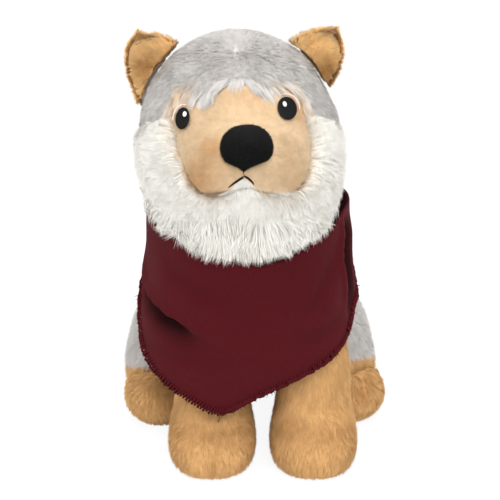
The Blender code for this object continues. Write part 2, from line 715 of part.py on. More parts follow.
def haunch_form(side):
    x = HAUNCH_X[side]
    centre = (x, HAUNCH_Y, HAUNCH_HEIGHT / 2 - 0.003)
    out = math.copysign(1.0, x)
    lobes = [
        ((0.0, 0.0, 0.0), (HAUNCH_WIDTH / 2, HAUNCH_LENGTH / 2, HAUNCH_HEIGHT / 2)),
        ((out * 0.004, -0.010, -0.012), (HAUNCH_WIDTH / 2 * 0.86, 0.020, 0.021)),
    ]
    floor = ((0.0, 0.0, 0.0), (0.0, 0.0, -1.0))
    return Form(centre, lobes, 0.012, None, [floor])


def hind_paw_form(side):
    x = HIND_PAW_X[side]
    toe = HIND_PAW_TOE_Y[side]
    centre = (x, toe + HIND_PAW_LENGTH / 2, 0.0135)
    lobes = [
        ((0.0, 0.0, 0.0), (HIND_PAW_WIDTH / 2, HIND_PAW_LENGTH / 2, 0.0155)),
        ((0.0, -0.008, 0.0), (HIND_PAW_WIDTH / 2, 0.017, 0.0145)),
    ]
    floor = ((0.0, 0.0, 0.0), (0.0, 0.0, -1.0))
    return Form(centre, lobes, 0.008, None, [floor])


def middle_seam(azimuth):
    return np.full(np.shape(azimuth), math.pi / 2)


def build_legs(torso_cutter):
    for side, name in enumerate(("left", "right")):
        points, faces = loft(foreleg_rings(FORELEG_X[side]))
        cut(add_object(name + "_foreleg", points, faces, TAN), torso_cutter)
        haunch = haunch_form(side)
        points, faces = whole_form(haunch, middle_seam, 20, 5, 5)
        cut(add_object(name + "_haunch", points, faces, GREY), torso_cutter)
        haunch_cutter = add_cutter(name + "_haunch_cutter", points, faces, SEAT_GAP)
        points, faces = whole_form(hind_paw_form(side), middle_seam, 18, 4, 4)
        cut(add_object(name + "_hind_paw", points, faces, TAN), haunch_cutter)


# Tail
TAIL_LINE = [(0.000, 0.066, 0.026), (0.010, 0.084, 0.019), (0.024, 0.096, 0.0155), (0.040, 0.099, 0.0150), (0.055, 0.092, 0.0145)]
TAIL_SHARE = [(0.0, 0.50), (0.2, 0.78), (0.5, 1.0), (0.8, 0.82), (0.93, 0.52), (1.0, 0.12)]


def build_tail(torso_cutter, rows=12, sides=14):
    """A bushy tail that lies on the floor and curls round behind the right haunch."""
    line = np.array(TAIL_LINE)
    place = np.linspace(0, 1, len(line))
    at = np.concatenate([np.linspace(0, 0.9, rows - 3, endpoint=False), [0.90, 0.96, 1.0]])
    centre = np.stack([smooth_through(list(zip(place, line[:, k])), at) for k in range(3)], 1)
    radius = smooth_through(TAIL_SHARE, at) * TAIL_WIDTH / 2
    along = np.gradient(centre, axis=0)
    along /= np.linalg.norm(along, axis=1, keepdims=True)
    side = np.cross(along, (0, 0, 1))
    side /= np.linalg.norm(side, axis=1, keepdims=True)
    up = np.cross(side, along)
    rings = []
    for i in range(rows):
        ring = []
        for j in range(sides):
            a = 2 * math.pi * j / sides
            spot = centre[i] + radius[i] * (math.cos(a) * side[i] + math.sin(a) * up[i])
            ring.append((spot[0], spot[1], max(spot[2], 0.0)))
        rings.append(ring)
    points, faces = loft(rings)
    faces = [f[::-1] for f in faces]
    cut(add_object("tail", points, faces, GREY), torso_cutter)


# Bandana: degrees round the neck from straight ahead, positive towards +X, and the heights of its two edges
BANDANA_TOP = [
    (-180, 0.1230), (-90, 0.1215), (-70, 0.1165), (-50, 0.1120), (-25, 0.1070), (8, 0.1030), (33, 0.1080), (48, 0.1130),
    (60, 0.1170), (74, 0.1222), (90, 0.1238), (130, 0.1235),
]
BANDANA_LOW = [
    (-180, 0.1120), (-140, 0.1030), (-115, 0.0890), (-90, 0.0730), (-69, 0.0615), (-48, 0.0490), (-31, 0.0395),
    (-14, 0.0325), (5, 0.0410), (26, 0.0505), (49, 0.0605), (65, 0.0695), (90, 0.0810), (115, 0.0940), (140, 0.1050),
]
# Creases: (degrees, height) from end to end, how far the cloth falls in past one, how far it then stands out, and the
# side its lower edge is on
LEFT_CREASE = ([(-92, 0.1010), (-84, 0.0900), (-75, 0.0825), (-57, 0.0785), (-39, 0.0740), (-29, 0.0702), (-16, 0.0670)], 0.0060, 0.0008, -1)
RIGHT_CREASE = ([(86, 0.1180), (81, 0.1040), (77, 0.0920), (70, 0.0830), (58, 0.0785), (42, 0.0765)], 0.0045, 0.0050, 1)
CREASE_LIP = 0.0015
CREASE_EDGE = 0.0022
CREASE_WIDTH = 0.0060
ROLL_OFFSET = 0.0105
ROLL_WIDTH = 0.0060


def bandana_radius(angle, height):
    """Distance of the cloth's middle from the neck's axis, before the folds."""
    c, s = np.cos(angle), np.sin(angle)
    low = np.clip((0.108 - height) / 0.060, 0, 1)
    low = low * low * (3 - 2 * low)
    front = BANDANA_FRONT_TOP + (BANDANA_FRONT_LOW - BANDANA_FRONT_TOP) * low
    along_y = np.where(c > 0, front, BANDANA_BACK)
    power = 2.0 + 0.8 * low
    half_width = BANDANA_TOP_HALF_WIDTH + (BANDANA_LOW_HALF_WIDTH - BANDANA_TOP_HALF_WIDTH) * low
    return (np.abs(s / half_width) ** power + np.abs(c / along_y) ** power) ** (-1 / power)


def crease_place(line, angle, height):
    """Distance across a crease, positive on its left, and the share of its length, in the cloth unrolled."""
    reach = (BANDANA_TOP_HALF_WIDTH + BANDANA_LOW_HALF_WIDTH) / 2
    knots = np.array([(math.radians(degrees) * reach, z) for degrees, z in line])
    spot = np.stack([angle * reach, height], -1)
    length = np.concatenate([[0.0], np.cumsum(np.linalg.norm(np.diff(knots, axis=0), axis=1))])
    nearest = np.full(spot.shape[:-1], np.inf)
    across, share = np.zeros(nearest.shape), np.zeros(nearest.shape)
    for i, (start, end) in enumerate(zip(knots[:-1], knots[1:])):
        run = end - start
        t = np.clip((spot - start) @ run / (run @ run), 0.0, 1.0)
        away = spot - start - t[..., None] * run
        distance = np.linalg.norm(away, axis=-1)
        side = np.sign(run[0] * away[..., 1] - run[1] * away[..., 0])
        closer = distance < nearest
        nearest = np.where(closer, distance, nearest)
        across = np.where(closer, distance * side, across)
        share = np.where(closer, (length[i] + t * (length[i + 1] - length[i])) / length[-1], share)
    return across, share


def fold_shift(angle, height):
    """How far the folds move the cloth out or in."""
    shift = np.zeros(np.shape(angle))
    for line, depth, roll, side in (LEFT_CREASE, RIGHT_CREASE):
        across, share = crease_place(line, angle, height)
        past = across * side
        fade = ease(share / 0.25) * ease((1 - share) / 0.45)
        dip = ease((past + CREASE_EDGE / 2) / CREASE_EDGE) * np.exp(-(np.maximum(past, 0.0) / CREASE_WIDTH) ** 2)
        lip = np.exp(-(((past + CREASE_EDGE) / CREASE_EDGE) ** 2))
        ridge = np.exp(-(((past - ROLL_OFFSET) / ROLL_WIDTH) ** 2))
        shift += fade * (CREASE_LIP * lip - depth * dip + roll * ridge)
    return shift


def build_bandana(columns=46, behind=13, rows=8):
    """A triangle of cloth round the neck with its point in front: a closed band, narrow behind."""
    degrees = np.concatenate([np.linspace(-115, 115, columns), np.linspace(115, 245, behind + 2)[1:-1]])
    degrees = (degrees + 180) % 360 - 180
    columns += behind
    top = smooth_through(BANDANA_TOP, degrees, 360)
    low = smooth_through(BANDANA_LOW, degrees, 360)
    wrapped = np.radians(degrees)
    sheets = []
    for side in (1, -1):
        sheet = []
        for r in range(rows):
            height = top + (low - top) * r / (rows - 1)
            radius = bandana_radius(wrapped, height) + fold_shift(wrapped, height) + side * BANDANA_THICKNESS / 2
            x = BANDANA_CENTRE[0] + radius * np.sin(wrapped)
            y = BANDANA_CENTRE[1] - radius * np.cos(wrapped)
            sheet.extend(np.stack([x, y, height], 1))
        sheets.append(sheet)
    inner = rows * columns
    faces = []
    for r in range(rows):
        for c in range(columns):
            d = (c + 1) % columns
            a, b = r * columns + c, r * columns + d
            if r < rows - 1:
                faces.append((a, a + columns, b + columns, b))
                faces.append((inner + b, inner + b + columns, inner + a + columns, inner + a))
            elif r == rows - 1:
                faces.append((a, inner + a, inner + b, b))
                top_a, top_b = c, d
                faces.append((top_b, inner + top_b, inner + top_a, top_a))
    cloth = add_object("bandana", sheets[0] + sheets[1], faces, MAROON)
    for number, (points, faces) in enumerate(knot_shapes()):
        shape = add_cutter("bandana_knot_" + str(number), points, faces, 0.0)
        modifier = cloth.modifiers.new("knot_" + str(number), "BOOLEAN")
        modifier.operation = "UNION"
        modifier.solver = "EXACT"
        modifier.object = shape
    build_overlock(wrapped, low)


def knot_shapes():
    """The knot behind the neck and its two loose ends, each lapping into the band."""
    middle = np.array([BANDANA_CENTRE[0], BANDANA_CENTRE[1] + BANDANA_BACK + 0.0030, KNOT_HEIGHT])
    lump = Form(middle, [((0.0, 0.0, 0.0), (KNOT_WIDTH / 2, 0.0065, 0.0078))], 0.004)
    shapes = [whole_form(lump, middle_seam, 12, 3, 3)]
    for out, drop in ((-1, 0.013), (1, 0.016)):
        rings = []
        for i in range(7):
            share = i / 6
            centre = middle + np.array([out * (0.001 + 0.020 * share), 0.0075 * math.sin(1.9 * share), -drop * share**1.6])
            half = 0.0022 + 0.0062 * math.sin(math.pi * min(1.0, share * 0.62 + 0.06)) * (1.0 if share < 0.99 else 0.8)
            thick = BANDANA_THICKNESS * 0.75
            lean = out * (0.35 + 0.5 * share)
            flat = np.array([math.sin(lean), 0.0, math.cos(lean)])
            depth = np.array([0.0, 1.0, 0.0])
            ring = [centre + flat * half * a + depth * thick * b for a, b in KNOT_END_SECTION]
            rings.append(ring if out > 0 else ring[::-1])
        shapes.append(loft(rings))
    return shapes


def build_overlock(angle, low, sides=4):
    """The thread sewn over the bandana's lower edge, as a bead just under the cloth."""
    half = OVERLOCK_DIAMETER / 2
    height = low - half - SEAT_GAP
    radius = bandana_radius(angle, low) + fold_shift(angle, low)
    points = []
    for i in range(len(angle)):
        out = np.array([math.sin(angle[i]), -math.cos(angle[i]), 0.0])
        middle = np.array([BANDANA_CENTRE[0], BANDANA_CENTRE[1], height[i]]) + out * radius[i]
        for j in range(sides):
            a = 2 * math.pi * (j + 0.5) / sides
            points.append(middle + half * (math.cos(a) * out + np.array([0, 0, math.sin(a)])))
    count = len(angle)
    faces = []
    for i in range(count):
        n = (i + 1) % count
        for j in range(sides):
            k = (j + 1) % sides
            faces.append((i * sides + j, n * sides + j, n * sides + k, i * sides + k))
    add_object("bandana_overlock", points, faces, MAROON_THREAD)


def centre_on_floor():
    """Moves all pieces together, so that the middle of the whole toy's bounds is over the origin."""
    seen = bpy.context.evaluated_depsgraph_get()
    low, high = Vector((1e9, 1e9)), Vector((-1e9, -1e9))
    for piece in bpy.data.objects:
        if piece.hide_render:
            continue
        for vertex in piece.evaluated_get(seen).data.vertices:
            for axis in (0, 1):
                low[axis] = min(low[axis], vertex.co[axis])
                high[axis] = max(high[axis], vertex.co[axis])
    shift = Matrix.Translation((-(low.x + high.x) / 2, -(low.y + high.y) / 2, 0.0))
    for piece in bpy.data.objects:
        piece.data.transform(shift)


def main():
    clear_scene()
    head, crown_cutter = build_head()
    add_nose(head)
    add_mouth(head)
    add_eyes(head)
    build_ears(crown_cutter)
    _, torso_cutter = build_torso()
    build_legs(torso_cutter)
    build_tail(torso_cutter)
    build_bandana()
    bpy.context.view_layer.update()
    centre_on_floor()
    bpy.context.view_layer.update()


main()
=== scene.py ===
"""Looks of the sitting plush toy: pile, embroidery, cloth and light. Metres, +Z up, the toy faces -Y."""

import math

import bmesh
import bpy
import numpy as np
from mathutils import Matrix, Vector
from mathutils.bvhtree import BVHTree
from mathutils.kdtree import KDTree


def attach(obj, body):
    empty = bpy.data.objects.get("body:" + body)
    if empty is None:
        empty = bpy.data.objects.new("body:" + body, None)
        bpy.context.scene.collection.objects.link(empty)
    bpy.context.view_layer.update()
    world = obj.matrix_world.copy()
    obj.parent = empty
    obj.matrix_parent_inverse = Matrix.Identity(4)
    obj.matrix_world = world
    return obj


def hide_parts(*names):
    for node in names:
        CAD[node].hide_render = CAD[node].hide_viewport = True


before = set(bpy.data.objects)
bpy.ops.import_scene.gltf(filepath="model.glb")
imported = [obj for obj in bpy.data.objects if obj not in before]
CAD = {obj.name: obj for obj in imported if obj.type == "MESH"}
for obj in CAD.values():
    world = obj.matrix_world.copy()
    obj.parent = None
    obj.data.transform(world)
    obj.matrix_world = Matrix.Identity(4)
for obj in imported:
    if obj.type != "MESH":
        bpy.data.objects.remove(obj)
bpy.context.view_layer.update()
ROOT_DEPTH = 0.0003    # how far under the cloth's surface a strand starts
TIP_RISE = 0.0004      # how far its tip stands past the solid's surface
FLOOR_GAP = 0.0002

# Colours, linear
GREY = (0.640, 0.618, 0.595)
GREY_DARK = (0.420, 0.395, 0.378)
WHITE = (0.885, 0.870, 0.825)
WHITE_DARK = (0.760, 0.730, 0.650)
TAN = (0.780, 0.470, 0.200)
TAN_DARK = (0.400, 0.185, 0.058)
FACE = (0.745, 0.575, 0.375)
FACE_DARK = (0.560, 0.300, 0.120)
LINING = (1.000, 0.660, 0.275)
LINING_DARK = (0.420, 0.185, 0.050)
BLACK = (0.0035, 0.0032, 0.0030)


# Materials
class Tree:
    """The shader nodes of a material or world; inputs are given by name or number, as values or as sockets to link."""

    def __init__(self, owner):
        owner.use_nodes = True
        self.owner, self.tree = owner, owner.node_tree

    def set(self, node, inputs):
        for name, value in inputs.items():
            socket = node.inputs[name]
            if isinstance(value, bpy.types.NodeSocket):
                self.tree.links.new(value, socket)
            else:
                socket.default_value = (*value, 1.0) if socket.type == "RGBA" else value

    def add(self, kind, inputs={}):
        node = self.tree.nodes.new("ShaderNode" + kind)
        self.set(node, inputs)
        return node

    def coords(self, kind):
        return self.add("TexCoord").outputs[kind]

    def attribute(self, name):
        node = self.add("Attribute")
        node.attribute_name = name
        return node.outputs["Color"]

    def noise(self, scale, detail, coords):
        return self.add("TexNoise", {"Scale": scale, "Detail": detail, "Vector": coords}).outputs["Fac"]

    def bands(self, scale, distortion, detail, coords):
        """Diagonal bands, for filaments and ribs."""
        node = self.add("TexWave", {"Scale": scale, "Distortion": distortion, "Detail": detail, "Vector": coords})
        node.bands_direction = "DIAGONAL"
        return node.outputs["Fac"]

    def mix(self, a, b, factor=1.0, blend="MIX"):
        node = self.add("Mix")
        node.data_type, node.blend_type = "RGBA", blend
        self.set(node, {"Factor": factor, "A": a, "B": b})
        return node.outputs["Result"]

    def ramp(self, factor, low, high):
        """A colour ramp between two places, each (position, colour)."""
        node = self.add("ValToRGB", {"Fac": factor})
        for element, (position, colour) in zip(node.color_ramp.elements, (low, high)):
            element.position = position
            element.color = (*colour, 1.0)
        return node.outputs["Color"]

    def maths(self, operation, a, b):
        node = self.add("Math", {0: a, 1: b})
        node.operation = operation
        return node.outputs["Value"]


class Look(Tree):
    """A material with one shader."""

    def __init__(self, name, roughness=0.9, level=0.15):
        super().__init__(bpy.data.materials.new(name))
        self.shader = self.tree.nodes["Principled BSDF"]
        self.set(self.shader, {"Roughness": roughness, "Specular IOR Level": level})

    def coloured(self, colour, height=None, strength=0.0, distance=0.0):
        """The material, with this colour and bump on its shader."""
        self.set(self.shader, {"Base Color": colour})
        if height is not None:
            bump = self.add("Bump", {"Strength": strength, "Distance": distance, "Height": height})
            self.set(self.shader, {"Normal": bump.outputs["Normal"]})
        return self.owner


def pile_material(name, roughness):
    """Pile whose colour is each strand's own, with a slow variation over the cloth."""
    look = Look(name, roughness)
    slow = look.noise(140.0, 3.0, look.coords("Object"))
    tone = look.ramp(slow, (0.30, (0.88, 0.87, 0.85)), (0.65, (1.0, 1.0, 1.0)))
    return look.coloured(look.mix(look.attribute("pile"), tone, blend="MULTIPLY"))


def backing_material(name, colour, dark):
    """The knitted backing under the pile."""
    look = Look(name, 0.95, 0.1)
    fine = look.noise(1400.0, 3.0, look.coords("Object"))
    return look.coloured(look.mix(dark, colour, fine), fine, 0.5, 0.0004)


def thread_material(name, colour, dark, roughness, scale, level):
    """Embroidery or sewing thread: fine parallel filaments."""
    look = Look(name, roughness, level)
    filaments = look.bands(scale / 6.28, 1.5, 2.0, look.coords("Object"))
    return look.coloured(look.mix(dark, colour, filaments), filaments, 0.6, 0.0002)


def cloth_material():
    """Thin twill: fine diagonal ribs, faint streaks of wear, painted shade in the folds and a dusty sheen."""
    look = Look("bandana_twill", 0.92, 0.06)
    look.set(look.shader, {"Sheen Weight": 0.12, "Sheen Roughness": 0.6, "Sheen Tint": (0.55, 0.20, 0.22)})
    weave = look.coords("UV")
    base = look.mix((0.057, 0.0040, 0.0062), (0.073, 0.0054, 0.0080), look.noise(7.0, 4.0, weave))
    drawn_out = look.add("Mapping", {"Scale": (90.0, 14.0, 1.0), "Vector": weave}).outputs["Vector"]
    faded = look.ramp(look.noise(3.0, 3.0, drawn_out), (0.45, (1.0, 1.0, 1.0)), (0.85, (1.55, 1.8, 1.8)))
    ribs = look.bands(190.0, 0.6, 1.0, weave)
    twill = look.mix((0.044, 0.0032, 0.0048), look.mix(base, faded, blend="MULTIPLY"), ribs)
    # painted shade: the twill's colour multiplied darker inside the creases
    return look.coloured(look.mix(twill, look.attribute("fold_painted_shade"), blend="MULTIPLY"), ribs, 0.35, 0.00018)


# Meshes
def unit(v):
    return v / np.maximum(np.linalg.norm(v, axis=-1, keepdims=True), 1e-12)


def read_mesh(mesh):
    points = np.empty(len(mesh.vertices) * 3)
    mesh.vertices.foreach_get("co", points)
    mesh.calc_loop_triangles()
    tris = np.empty(len(mesh.loop_triangles) * 3, np.int64)
    mesh.loop_triangles.foreach_get("vertices", tris)
    return points.reshape(-1, 3), tris.reshape(-1, 3)


def link(name, mesh, *materials):
    made = bpy.data.objects.new(name, mesh)
    bpy.context.scene.collection.objects.link(made)
    for m in materials:
        mesh.materials.append(m)
    return made


def smooth_copy(node, levels=2):
    """A finer, rounder copy of a CAD node's surface: points, triangles and normals."""
    mesh = CAD[node].data.copy()
    bm = bmesh.new()
    bm.from_mesh(mesh)
    bmesh.ops.remove_doubles(bm, verts=bm.verts, dist=1e-6)
    bmesh.ops.join_triangles(
        bm, faces=bm.faces, angle_face_threshold=0.7, angle_shape_threshold=0.9, cmp_seam=False, cmp_sharp=False
    )
    bm.to_mesh(mesh)
    bm.free()
    holder = link("smoothing", mesh)
    modifier = holder.modifiers.new("subdivide", "SUBSURF")
    modifier.levels = modifier.render_levels = levels
    fine = bpy.data.meshes.new_from_object(holder.evaluated_get(bpy.context.evaluated_depsgraph_get()))
    points, tris = read_mesh(fine)
    normals = np.empty(len(points) * 3)
    fine.vertices.foreach_get("normal", normals)
    bpy.data.objects.remove(holder)
    bpy.data.meshes.remove(fine)
    return points, tris, normals.reshape(-1, 3)


surfaces = {}


def surface_of(node):
    if node not in surfaces:
        surfaces[node] = smooth_copy(node)
    return surfaces[node]


def value_noise(points, scale, seed):
    """Smooth three-valued noise from -1 to 1 that doesn't depend on anything but the place."""
    local = np.random.default_rng(seed)
    table = local.uniform(-1, 1, (17, 17, 17, 3))
    p = points * scale + local.uniform(0, 16, 3)
    cell = np.floor(p).astype(int)
    t = p - cell
    t = t * t * (3 - 2 * t)
    total = np.zeros(points.shape)
    for corner in np.ndindex(2, 2, 2):
        weight = np.prod(np.where(corner, t, 1 - t), axis=1, keepdims=True)
        total += table[tuple(((cell + corner) % 17).T)] * weight
    return total


def build_mesh(name, points, loops, loop_starts, normals=None, colours=None):
    mesh = bpy.data.meshes.new(name)
    mesh.vertices.add(len(points))
    mesh.vertices.foreach_set("co", np.ascontiguousarray(points, np.float32).ravel())
    mesh.loops.add(len(loops))
    mesh.loops.foreach_set("vertex_index", np.asarray(loops, np.int32))
    mesh.polygons.add(len(loop_starts))
    mesh.polygons.foreach_set("loop_start", np.asarray(loop_starts, np.int32))
    mesh.update(calc_edges=True)
    if colours is not None:
        layer = mesh.color_attributes.new("pile", "FLOAT_COLOR", "POINT")
        full = np.ones((len(points), 4), np.float32)
        full[:, :3] = np.clip(colours, 0, 1)
        layer.data.foreach_set("color", full.ravel())
    if normals is not None:
        mesh.shade_smooth()
        mesh.normals_split_custom_set_from_vertices(normals.tolist())
    return mesh


class Obstacles:
    """A sheet that strands must not pass through."""

    def __init__(self, points, tris):
        self.tree = BVHTree.FromPolygons(points.tolist(), tris.tolist())
        self.low, self.high = points.min(0) - 0.002, points.max(0) + 0.002

    def shorten(self, root, tip):
        """Moves the tips of strands that would pass through the sheet back in front of it."""
        reach = tip - root
        far = np.linalg.norm(reach, axis=1)
        near = np.all((np.maximum(root, tip) > self.low) & (np.minimum(root, tip) < self.high), axis=1)
        for i in np.flatnonzero(near):
            hit = self.tree.ray_cast(Vector(root[i]), Vector(reach[i] / far[i]), far[i] + 0.0004)
            if hit[0] is not None:
                tip[i] = root[i] + reach[i] * max(0.05, (hit[3] - 0.0005) / far[i])


def nearness(node, reach):
    """How near places are to another node's surface, from 1 on it to 0 beyond reach."""
    points = surface_of(node)[0]
    tree = KDTree(len(points))
    for i, point in enumerate(points):
        tree.insert(point, i)
    tree.balance()

    def near(p):
        distance = np.fromiter((tree.find(x)[2] for x in p), float, len(p))
        return np.exp(-((distance / reach) ** 2))

    return near


def strands(name, source, count, length, width, height, comb, colour, keep=None, clump=0.0026, tightness=0.30,
            curl=0.14, sink=None, knees=False, obstacles=None, mottle=0.04, sway=0.30, spread=0.25, lean_to=None,
            seed=1):
    """A mesh of pile: count strands on source's surface.

    length, height, sink, comb and colour take the roots and their normals. height is the share of a strand's
    length that stands off the cloth. keep says which roots grow, sink how far they are moved, as a vector. A strand
    is one thin triangle, or with knees three that bend outwards. lean_to tips the sides that strands face.
    """
    points, tris, normals = source
    local = np.random.default_rng(seed)
    corners = points[tris]
    middle = corners.mean(1)
    cross = np.cross(corners[:, 1] - corners[:, 0], corners[:, 2] - corners[:, 0])
    area = np.linalg.norm(cross, axis=1) / 2
    chance = area.copy()
    if keep is not None:
        chance = chance * keep(middle, unit(cross))
    pick = local.choice(len(tris), count, p=chance / chance.sum())
    a, b = local.random((2, count))
    a, b = np.where(a + b > 1, 1 - a, a), np.where(a + b > 1, 1 - b, b)
    share = np.stack([1 - a - b, a, b], 1)[:, :, None]
    root = (corners[pick] * share).sum(1)
    normal = unit((normals[tris[pick]] * share).sum(1))
    way = unit(comb(root, normal))
    way = way + value_noise(root, 95.0, seed + 11) * sway + value_noise(root, 260.0, seed + 12) * curl
    way = way - normal * np.sum(way * normal, axis=1, keepdims=True)
    way = unit(way)
    size = length(root, normal) * local.uniform(1 - spread, 1 + spread / 2, count)
    lift = np.clip(height(root, normal) * local.uniform(0.8, 1.2, count), 0.04, 0.98)
    lean = np.sqrt(np.maximum(1 - lift**2, 0.0))
    tip = root + normal * (size * lift)[:, None] + way * (size * lean)[:, None]
    tip += unit(local.normal(size=(count, 3))) * (size * 0.07)[:, None]
    spots = root[local.choice(count, max(8, int(chance.sum() / clump**2)), replace=True)]
    tree = KDTree(len(spots))
    for i, spot in enumerate(spots):
        tree.insert(spot, i)
    tree.balance()
    nearest = np.fromiter((tree.find(r)[1] for r in root), np.int64, count)
    amount = np.maximum(np.bincount(nearest, minlength=len(spots)), 1)
    centre = np.stack([np.bincount(nearest, tip[:, k], len(spots)) / amount for k in range(3)], 1)
    tip = tip + (centre[nearest] - tip) * (tightness * local.uniform(0.5, 1.0, count))[:, None]
    shade = local.uniform(1 - 1.5 * mottle, 1 + mottle, len(spots))[nearest]
    shift = normal * ROOT_DEPTH + sink(root, normal)
    root, tip = root - shift, tip - shift
    tip[:, 2] = np.maximum(tip[:, 2], FLOOR_GAP)
    if obstacles is not None:
        obstacles.shorten(root, tip)
    reach = tip - root
    far = np.linalg.norm(reach, axis=1, keepdims=True)
    along = reach / np.maximum(far, 1e-9)
    side = unit(np.cross(along, normal) + local.normal(size=(count, 3)) * 0.28)
    half = (width * local.uniform(0.7, 1.25, count) / 2)[:, None]
    outward = normal if lean_to is None else unit(normal + lean_to)
    face = unit(np.cross(side, along))
    face *= np.where(np.sum(face * outward, axis=1) < 0, -1.0, 1.0)[:, None]
    flat = (0.05 + 0.85 * lift**3)[:, None]
    facing = unit(outward * (1 - flat) + face * flat)
    if knees:
        knee = root + reach * 0.52 + normal * far * 0.13
        rows = [root - side * half, root + side * half, knee + side * half * 0.7, knee - side * half * 0.7, tip]
        order = np.array([0, 1, 2, 0, 2, 3, 3, 2, 4])
        depth = np.array([0.0, 0.0, 0.6, 0.6, 1.0])
    else:
        rows = [root - side * half, root + side * half, tip]
        order = np.array([0, 1, 2])
        depth = np.array([0.0, 0.0, 1.0])
    per = len(rows)
    placed = np.stack(rows, 1).reshape(-1, 3)
    flip = np.sum(np.cross(rows[1] - rows[0], tip - rows[0]) * outward, axis=1) < 0
    loops = (np.arange(count)[:, None] * per + order[None, :]).reshape(count, -1, 3)
    loops = np.where(flip[:, None, None], loops[:, :, ::-1], loops).reshape(-1)
    light, dark = colour(root, normal)
    tone = (shade * local.uniform(1 - mottle, 1 + mottle, count))[:, None, None]
    mix = (0.25 + 0.75 * depth)[None, :, None]
    shades = (dark[:, None, :] * (1 - mix) + light[:, None, :] * mix) * tone
    starts = np.arange(0, len(loops), 3)
    return build_mesh(name, placed, loops, starts, np.repeat(facing, per, axis=0), shades.reshape(-1, 3))


def constant(value):
    return lambda p, n: np.full(len(p), value)


def towards(*direction):
    return lambda p, n: np.broadcast_to(np.array(direction, float), p.shape).copy()


def blend_colours(light, dark, amount):
    """The colours of a strand's tip and root; amount, held between 0 and 1, darkens both."""
    light, dark = np.array(light), np.array(dark)
    amount = np.clip(amount, 0, 1)[:, None]
    return light * (1 - amount) + dark * amount, light * (0.75 - 0.55 * amount) + dark * (0.25 + 0.55 * amount)


def mixed(pair, other, amount):
    """Two pairs of colours for a strand's tip and root, mixed by an amount from 0 to 1."""
    amount = np.asarray(amount)[:, None]
    return tuple(a * (1 - amount) + np.array(b) * amount for a, b in zip(pair, other))


def step(value, low, high):
    """0 below low, 1 above high, smooth between."""
    t = np.clip((value - low) / (high - low), 0, 1)
    return t * t * (3 - 2 * t)


# The head's own frame, as in the solids: x to the toy's left in the picture's right, y back, z up
PLAN_SHIFT = np.array([-0.0020, -0.0138, 0.0])
HEAD = np.array([-0.0052, -0.012, 0.150]) + PLAN_SHIFT


def turn(angle, axis):
    c, s = math.cos(angle), math.sin(angle)
    i, j = {"X": (1, 2), "Y": (2, 0), "Z": (0, 1)}[axis]
    m = np.eye(3)
    m[i, i] = m[j, j] = c
    m[i, j], m[j, i] = -s, s
    return m


HEAD_TURN = turn(math.radians(2), "Z") @ turn(math.radians(-13), "X") @ turn(math.radians(-5), "Y")


def head_frame(points):
    return (points - HEAD) @ HEAD_TURN


def from_head(vector):
    return np.asarray(vector, float) @ HEAD_TURN.T


# Kinds of cloth and thread: colour, its darker shade and, for plush, the pile's roughness
PLUSH = {
    "grey": (GREY, GREY_DARK, 0.9), "white": (WHITE, WHITE_DARK, 0.9), "tan": (TAN, TAN_DARK, 0.9),
    "face": (FACE, FACE_DARK, 0.9), "black": (BLACK, (0.002, 0.002, 0.002), 0.8),
}
pile = {kind: pile_material(kind + "_pile", rough) for kind, (_, _, rough) in PLUSH.items()}
backing = {kind: backing_material(kind + "_backing", colour, dark) for kind, (colour, dark, _) in PLUSH.items()}
backing |= {
    "filling": backing_material("filling_fibre", (0.88, 0.88, 0.86), (0.74, 0.74, 0.72)),
    "black_thread": thread_material(
        "black_embroidery", (0.0045, 0.0040, 0.0040), (0.0015, 0.0015, 0.0015), 0.5, 2200.0, 0.12
    ),
    "white_thread": thread_material("white_embroidery", (0.93, 0.90, 0.87), (0.78, 0.75, 0.71), 0.6, 2600.0, 0.1),
    "rim_thread": thread_material("pale_embroidery", (0.86, 0.70, 0.62), (0.62, 0.44, 0.36), 0.7, 2600.0, 0.1),
}


def keep_with(piece, node):
    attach(piece, "root")
    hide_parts(node)
    return piece


def skin(node, kind, sink=None, levels=1):
    """A piece's cloth or thread: a rounded copy of its CAD node, drawn in by sink."""
    points, tris, normals = smooth_copy(node, levels)
    if sink is not None:
        points = points - sink(points, normals)
        points[:, 2] = np.maximum(points[:, 2], FLOOR_GAP)
    mesh = build_mesh(node + "_skin", points, tris.ravel(), np.arange(0, tris.size, 3))
    mesh.shade_smooth()
    piece = keep_with(link(node + "_skin", mesh, backing[kind]), node)
    return piece


def grow(node, kind, count, name="_pile", **how):
    how.setdefault("seed", sum(map(ord, node + name)) % 997)
    mesh = strands(node + name, surface_of(node), count, **how)
    return keep_with(link(node + name, mesh, pile[kind]), node)


def sunk(length, height, centre=None):
    """Moves cloth in by the depth of its pile; on a shell, towards the centre and not on its inner face."""

    def sink(p, n):
        depth = np.maximum(length(p, n) * height(p, n) - TIP_RISE, 0.0003)
        if centre is None:
            return n * (depth * step(p[:, 2], 0.0, 0.004))[:, None]
        out = unit(p - centre)
        return out * (depth * step(np.sum(out * n, axis=1), -0.65, 0.15))[:, None]

    return sink


def outside_of(centre, least=-0.2):
    """1 where a surface faces away from a centre, for the outer face of a shell and its edges."""
    centre = np.array(centre)
    return lambda p, n: (np.sum(unit(p - centre) * n, axis=1) > least).astype(float)


def plush(node, kind, count, length, height, centre=None, keep=None, fill=0.7, **how):
    """A piece of plush: cloth, and pile whose tips reach the solid's surface."""
    sink = sunk(length, height, centre)
    skin(node, kind, sink)
    if keep is None and centre is not None:
        keep = outside_of(centre)
    grow(node, kind, count, length=length, height=height, sink=sink, keep=keep, **how)
    return sink


def patches(p, spots):
    """The sum of soft round patches: (place, radius, strength) each."""
    total = np.zeros(len(p))
    for place, radius, strength in spots:
        total += strength * np.exp(-np.sum((p - np.array(place)) ** 2, axis=1) / radius**2)
    return total


